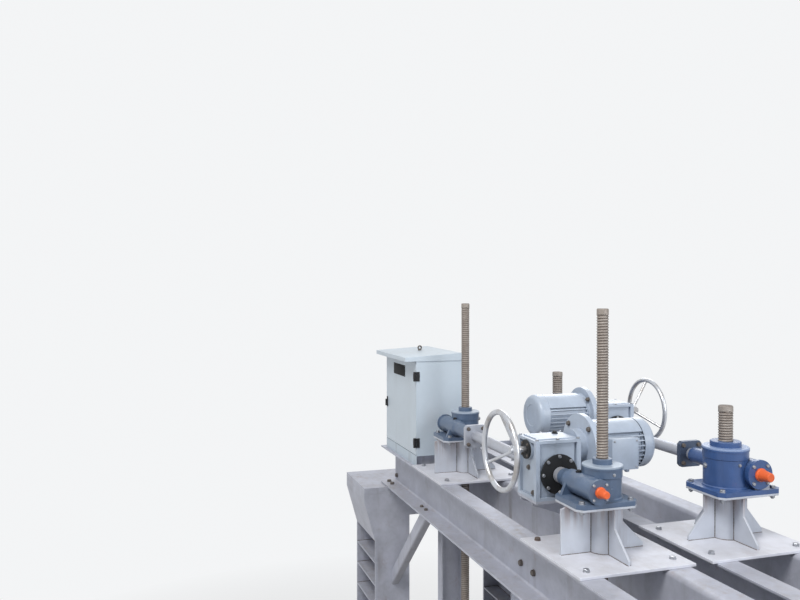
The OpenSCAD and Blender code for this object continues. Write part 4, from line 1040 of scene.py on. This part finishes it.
def jackFittings(side, hoist):
    fit, own = jackFit, jackFit[side]
    head, deck, y = hoist["head"], hoist["deck"], hoist["stemY"]
    beamTop = deck - fit["plateT"]
    for s in (-1, 1):
        spots = [own["outer"], own["inner"], (own["outer"][0], own["back"]), (-own["outer"][0], own["back"])]
        flat = [(s * (hoist["stemX"] + u), y + v) for u, v in spots]
        through("frame", "zinc", fit["flangeBolt"], (0, 0, 1), [(*p, head + fit["flangeT"]) for p in flat],
                [(*p, head - fit["headT"]) for p in flat], hoist)
        face = (s * (hoist["stemX"] + fit["coverX"]), hoist["wormY"], hoist["wormZ"])
        fix("frame", "zinc", "head", own["coverBolt"], (s, 0, 0),
            ringSpots(face, own["coverRing"], fit["coverBolts"], math.pi / 4, (0, 1, 0), (0, 0, 1)), hoist)
        cap = fit["breather"]
        fix("frame", "black", "plug", cap["size"], (0, 0, 1), [(
            s * (hoist["stemX"] - cap["inset"]), hoist["wormY"],
            hoist["wormZ"] + own["housing"] - cap["sunk"])], hoist)
        cap = fit["nipple"]
        fix("frame", "zinc", "plug", cap["size"], (s, 0, 0), [(
            s * (hoist["stemX"] + own["crown"] - cap["sunk"]), y + cap["aside"], deck + cap["up"])], hoist)
        cap = fit["filler"]
        fix("frame", "zinc", "plug", cap["size"], (0, 1, 0), [(
            s * (hoist["stemX"] - cap["inset"]), y + own["crown"] - cap["sunk"], deck + cap["up"])], hoist)
        for u, v in fit["plateSpots"]:
            for way in (-1, 1):
                spot = (s * hoist["stemX"] + way * u, v)
                paint = "rusty" if (side, s, way, u) == fit["darkBolt"] else "zinc"
                fix("frame", paint, "head", fit["plateBolt"], (0, 0, 1), [(*spot, deck)], hoist)
                fix("frame", "zinc", "nut", fit["plateBolt"], (0, 0, -1),
                    [(*spot, beamTop - fit["beamFlange"])], hoist)
        centre = (s * hoist["stemX"], y, deck)
        foot = ringSpots(centre, own["tube"], 40, 0.0, (1, 0, 0), (0, 1, 0))
        weld("frame", fit["bead"], foot, hoist, True)
        half, low, high = fit["gussetHalf"], deck, head - fit["headT"]
        for ax, ay in ((1, 0), (-1, 0), (0, 1), (0, -1)):
            for off in (-half, half):
                def at(reach, z):
                    return (centre[0] + ax * reach + ay * off, centre[1] + ay * reach + ax * off, z)
                weld("frame", fit["bead"], [at(fit["gussetReach"], low), at(own["tube"], low),
                                            at(own["tube"], high), at(own["shank"], high)], hoist)


def gearFittings(side, hoist):
    fit = gearFit
    x, y, z, inputZ = hoist["gearX"], hoist["wormY"], hoist["wormZ"], hoist["inputZ"]
    for s in (-1, 1):
        face = (x + s * fit["coverX"], y, z)
        fix("frame", "zinc", "head", fit["coverBolt"], (s, 0, 0),
            ringSpots(face, fit["coverRing"], fit["coverBolts"], 0.0, (0, 1, 0), (0, 0, 1)), hoist)
    face = (x, y - fit["inputY"], inputZ)
    fix("frame", "rusty", "head", fit["inputBolt"], (0, -1, 0),
        ringSpots(face, fit["inputRing"], fit["inputBolts"], math.pi / 4, (1, 0, 0), (0, 0, 1)), hoist)
    lid = [(x + a * fit["lidX"], y + b * fit["lidY"], z + fit["topZ"]) for a in (-1, 1) for b in (-1, 0, 1)]
    fix("frame", "zinc", "head", fit["lidBolt"], (0, 0, 1), lid, hoist)
    feet = [(x + a * fit["footX"], y + b * fit["footY"], z + fit["shelfZ"]) for a in (-1, 1) for b in (-1, 1)]
    fix("frame", "zinc", "head", fit["footBolt"], (0, 0, -1), feet, hoist)
    cap = fit["breather"]
    fix("frame", "black", "plug", cap["size"], (0, 0, 1),
        [(x + cap["x"], y + cap["y"], z + fit["padZ"])], hoist)
    cap = fit["drain"]
    fix("frame", "rusty", "plug", cap["size"], (0, -1, 0),
        [(x + a, y - fit["wallY"], z + b) for a, b in cap["spots"]], hoist)
    body = side + "_drive_shaft"
    spot = fit["couplingSpot"]
    corners = [(y + a * spot, z + b * spot) for a in (-1, 1) for b in (-1, 1)]
    first, last = fit["couplingX"]
    through(body, "rusty", fit["couplingBolt"], (-1, 0, 0), [(first, *c) for c in corners],
            [(last, *c) for c in corners], hoist)
    far = x - fit["halfX"]
    near = min(x + fit["halfX"], hoist["stemX"] - fit["plateGap"])
    low, high = fit["shelfFootY"]
    beamTop = hoist["deck"] - jackFit["plateT"]
    top = beamTop + fit["shelfFootT"]
    spots = [(far + fit["shelfBoltX"], fit["shelfBoltY"]), (near - fit["shelfBoltX"], fit["shelfBoltY"])]
    through("frame", "zinc", fit["footBolt"], (0, 0, 1), [(*s, top) for s in spots],
            [(*s, beamTop - jackFit["beamFlange"]) for s in spots], hoist)
    shelf = z + fit["shelfZ"]
    outer = y - fit["halfY"] + fit["bracketIn"]
    starts = (far + fit["bracketIn"], near - fit["bracketIn"] - fit["bracketT"])
    for start in starts:
        for edge in (start, start + fit["bracketT"]):
            weld("frame", fit["bead"], [(edge, low, top), (edge, high, top)], hoist)
            weld("frame", fit["bead"], [(edge, outer, shelf), (edge, high, shelf)], hoist)


for side, hoist in hoists.items():
    jackFittings(side, hoist)
    gearFittings(side, hoist)


# beams, piers and gates

beamFit = {"size": 0.020, "webFace": 0.547, "webBack": 0.535, "webSpots": [(0.35, 2.770), (0.50, 2.765)],
           "endSpots": [(2.006, 2.730)], "flangeZ": 2.677, "endX": (1.930, 2.020),
           "flangeY": (0.140, 0.615), "braceX": (1.105, 1.200), "braceY": 0.605, "braceBolt": 0.016,
           "headBarX": 1.193, "headBarY": 0.125}
fit = beamFit
for side in (-1, 1):
    spots = fit["webSpots"] + [(s * x, z) for x, z in fit["endSpots"] for s in (-1, 1)]
    for x, z in spots:
        through("frame", "rusty", fit["size"], (0, side, 0), [(-side * x, side * fit["webFace"], z)],
                [(-side * x, side * fit["webBack"], z)])
    for end in (-1, 1):
        places = [(end * x, side * y, fit["flangeZ"]) for x in fit["endX"] for y in fit["flangeY"]]
        fix("frame", "rusty", "head", fit["size"], (0, 0, 1), places)
        places = [(end * x, side * fit["braceY"], fit["flangeZ"]) for x in fit["braceX"]]
        places.append((end * fit["headBarX"], side * fit["headBarY"], fit["flangeZ"]))
        fix("frame", "rusty", "head", fit["braceBolt"], (0, 0, 1), places)

pierFit = {"x": 2.20, "y": 0.625, "depth": 0.620, "width": 0.300, "flangeT": 0.016, "webT": 0.012,
           "top": 2.615, "haunch": 0.400, "pitch": 0.190, "stiffenerT": 0.012, "footT": 0.025,
           "bead": 0.0045}


def pierWelds(fit):
    halfWeb = fit["webT"] / 2
    reach = fit["depth"] / 2 - fit["flangeT"]
    outer = fit["width"] / 2
    for px in (-fit["x"], fit["x"]):
        for py in (-fit["y"], fit["y"]):
            z = fit["top"] - fit["haunch"] + fit["stiffenerT"]
            while z > fit["footT"] + fit["pitch"] / 2:
                for s in (-1, 1):
                    near, far = py + s * halfWeb, py + s * outer
                    weld("frame", fit["bead"], [(px - reach, far, z), (px - reach, near, z),
                                                (px + reach, near, z), (px + reach, far, z)])
                z -= fit["pitch"]
            z = fit["footT"]
            for s in (-1, 1):
                near = py + s * halfWeb
                weld("frame", fit["bead"], [(px - reach, near, z), (px + reach, near, z)])
                for edge in (reach, reach + fit["flangeT"]):
                    x = px + s * edge
                    weld("frame", fit["bead"], [(x, py - outer, z), (x, py + outer, z)])


pierWelds(pierFit)

leafFit = {"flangeT": 0.012, "halfDepth": 0.070, "skinT": 0.012, "rows": 5, "height": 1.200,
           "sealBolt": 0.010, "sealSpots": [0.075 + 0.150 * i for i in range(-7, 7)],
           "socketR": 0.058, "socketH": 0.110, "pin": 0.020, "half": 1.196, "bead": 0.0045}
for side, hoist in hoists.items():
    fit = leafFit
    low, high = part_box("gate_leaf_" + side)
    body, y = side + "_gate", hoist["stemY"]
    fix(body, "zinc", "head", fit["sealBolt"], (0, 0, 1),
        [(x, y, low.z + fit["flangeT"]) for x in fit["sealSpots"]], hoist)
    for s in (-1, 1):
        x, z = s * hoist["stemX"], high.z - fit["socketH"] / 2
        sunk = fit["socketR"] - 0.0025
        through(body, "zinc", fit["pin"], (0, -1, 0), [(x, y - sunk, z)], [(x, y + sunk, z)], hoist)
        seat = (x, y, high.z - fit["socketH"])
        weld(body, fit["bead"], ringSpots(seat, fit["socketR"], 36, 0.0, (1, 0, 0), (0, 1, 0)), hoist, True)
    skin = y - fit["halfDepth"] + fit["skinT"]
    rowHeight = (fit["height"] - fit["flangeT"]) / fit["rows"]
    for row in range(1, fit["rows"]):
        z = low.z + row * rowHeight + fit["flangeT"]
        weld(body, fit["bead"], [(-fit["half"], skin, z), (fit["half"], skin, z)], hoist)
print("fixings placed:", len(fixings), "welds placed:", len(beads))


# control cabinet

cabinetFit = {
    "face": -0.647,
    "plate": {"low": (-1.773, 3.633), "high": (-1.479, 3.721), "thick": 0.0025, "rivet": 0.004,
              "inset": 0.008},
    "lock": {"x": -1.958, "z": 3.376, "halfX": 0.011, "halfZ": 0.042, "thick": 0.006,
             "grip": ((-0.006, -0.020, -0.036), (0.006, -0.009, 0.022)), "pin": (0.008, 0.011)},
    "gasket": {"x": (-1.9818, -1.2082), "z": (3.0632, 3.7728), "wide": 0.022, "y": (-0.6262, -0.6215)},
    "board": {"x": (-1.925, -1.265), "z": (3.115, 3.725), "y": (-0.296, -0.293), "bolt": 0.008},
    "eye": {"x": -1.660, "y": -0.463, "z": 3.8235, "reach": 0.014, "tube": 0.006},
    "door": {"inside": -0.6445, "bars": (-1.850, -1.340), "half": 0.018, "barY": -0.6325,
             "barZ": (3.095, 3.741), "edge": 0.003},
    "pocket": {"x": (-1.735, -1.455), "z": (3.130, 3.345), "y": (-0.6445, -0.6265), "wall": 0.0015},
}


def cabinetFittings(fit):
    face = fit["face"]
    plate = fit["plate"]
    made = bmesh.new()
    (x0, z0), (x1, z1) = plate["low"], plate["high"]
    roundedBox(made, (x0, face - plate["thick"], z0), (x1, face + 0.0005, z1), 0.0008)
    link("cabinetPlate", closed(made, "cabinetPlate"), finish["label"], "door")
    inset = plate["inset"]
    spots = [(x, face - plate["thick"], z) for x in (x0 + inset, x1 - inset) for z in (z0 + inset, z1 - inset)]
    fix("door", "zinc", "screw", plate["rivet"], (0, -1, 0), spots)
    lock = fit["lock"]
    made = bmesh.new()
    roundedBox(made, (lock["x"] - lock["halfX"], face - lock["thick"], lock["z"] - lock["halfZ"]),
               (lock["x"] + lock["halfX"], face + 0.0005, lock["z"] + lock["halfZ"]), 0.003)
    low, high = [(lock["x"] + x, face + y, lock["z"] + z) for x, y, z in lock["grip"]]
    roundedBox(made, low, high, 0.004)
    radius, length = lock["pin"]
    lathe(made, [(0, 0), (radius, 0), (radius, length), (0, length)],
          (lock["x"], face - 0.003, lock["z"] + 0.010), (0, -1, 0), 18)
    link("cabinetLock", closed(made, "cabinetLock"), finish["black"], "door")
    door, pocket = fit["door"], fit["pocket"]
    made = bmesh.new()
    for x in door["bars"]:
        roundedBox(made, (x - door["half"], door["inside"], door["barZ"][0]),
                   (x + door["half"], door["barY"], door["barZ"][1]), door["edge"])
    (x0, x1), (z0, z1), (y0, y1), wall = pocket["x"], pocket["z"], pocket["y"], pocket["wall"]
    for low, high in (((x0, y0, z0), (x1, y1, z0 + wall)), ((x0, y1 - wall, z0), (x1, y1, z1)),
                      ((x0, y0, z0), (x0 + wall, y1, z1)), ((x1 - wall, y0, z0), (x1, y1, z1))):
        roundedBox(made, low, high, wall / 4)
    link("doorInside", closed(made, "doorInside"), finish["cabinet"], "door")
    gasket = fit["gasket"]
    made = bmesh.new()
    (x0, x1), (z0, z1), (y0, y1), wide = gasket["x"], gasket["z"], gasket["y"], gasket["wide"]
    for low, high in (((x0, z0), (x1, z0 + wide)), ((x0, z1 - wide), (x1, z1)),
                      ((x0, z0 + wide), (x0 + wide, z1 - wide)), ((x1 - wide, z0 + wide), (x1, z1 - wide))):
        roundedBox(made, (low[0], y0, low[1]), (high[0], y1, high[1]), 0.001)
    link("doorGasket", closed(made, "doorGasket"), finish["rubber"], "frame")
    board = fit["board"]
    made = bmesh.new()
    (x0, x1), (z0, z1), (y0, y1) = board["x"], board["z"], board["y"]
    roundedBox(made, (x0, y0, z0), (x1, y1, z1), 0.001)
    corners = [(x, z) for x in (x0 + 0.025, x1 - 0.025) for z in (z0 + 0.025, z1 - 0.025)]
    for x, z in corners:
        lathe(made, [(0, 0), (0.007, 0), (0.007, 0.012), (0, 0.012)], (x, y1 - 0.0005, z), (0, 1, 0), 12)
    link("cabinetBoard", closed(made, "cabinetBoard"), finish["steel"], "frame")
    fix("frame", "zinc", "nut", board["bolt"], (0, -1, 0), [(x, y0, z) for x, z in corners])
    eye = fit["eye"]
    made = bmesh.new()
    lathe(made, [(0, -0.002), (0.015, -0.002), (0.015, 0.006), (0.009, 0.010), (0, 0.010)],
          (eye["x"], eye["y"], eye["z"]), (0, 0, 1), 24)
    torus(made, (eye["x"], eye["y"], eye["z"] + 0.008 + eye["reach"]), (1, 0, 0), eye["reach"], eye["tube"])
    link("cabinetEye", closed(made, "cabinetEye"), finish["rusty"], "frame")


cabinetFittings(cabinetFit)


# fixings and welds grown from their points and lines

groups = {}
for item in fixings:
    groups.setdefault((item["body"], item["paint"]), []).append(item)
for (body, paint), items in groups.items():
    name = camel(body) + paint.capitalize() + "Fixings"
    cloud = bpy.data.meshes.new(name + "Points")
    cloud.from_pydata([item["place"] for item in items], [], [])
    # each layer is filled before the next is made: a new one moves those before it in memory
    facing = cloud.attributes.new("facing", "FLOAT_VECTOR", "POINT")
    facing.data.foreach_set("vector", [part for item in items for part in item["facing"]])
    for label in ("size", "kind"):
        layer = cloud.attributes.new(label, "FLOAT", "POINT")
        layer.data.foreach_set("value", [item[label] for item in items])
    mesh = grown(name, cloud, trees["bolts"], boltSet, finish[paint])
    for spare in ("facing", "size", "kind"):
        if spare in mesh.attributes:
            mesh.attributes.remove(mesh.attributes[spare])
    mesh.shade_smooth()
    mesh.set_sharp_from_angle(angle=math.radians(30))
    link(name, mesh, finish[paint], body)

seams = {}
for item in beads:
    seams.setdefault((item["body"], item["radius"]), []).append(item)
for (body, radius), items in seams.items():
    name = camel(body) + "Welds" + str(round(radius * 10000))
    points, edges = [], []
    for item in items:
        first, count = len(points), len(item["points"])
        points += item["points"]
        edges += [(first + i, first + i + 1) for i in range(count - 1)]
        if item["ring"]:
            edges.append((first + count - 1, first))
    path = bpy.data.meshes.new(name + "Path")
    path.from_pydata(points, edges, [])
    coarse = radius > 0.004
    values = {**weldSet, "Bead Radius": radius, "Ripple Pitch": 0.012 if coarse else 0.0035,
              "Sides": 5 if coarse else 6}
    mesh = grown(name, path, trees["welds"], values, finish["weld"])
    mesh.shade_smooth()
    link(name, mesh, finish["weld"], body)
    print(name, len(mesh.polygons), "faces")
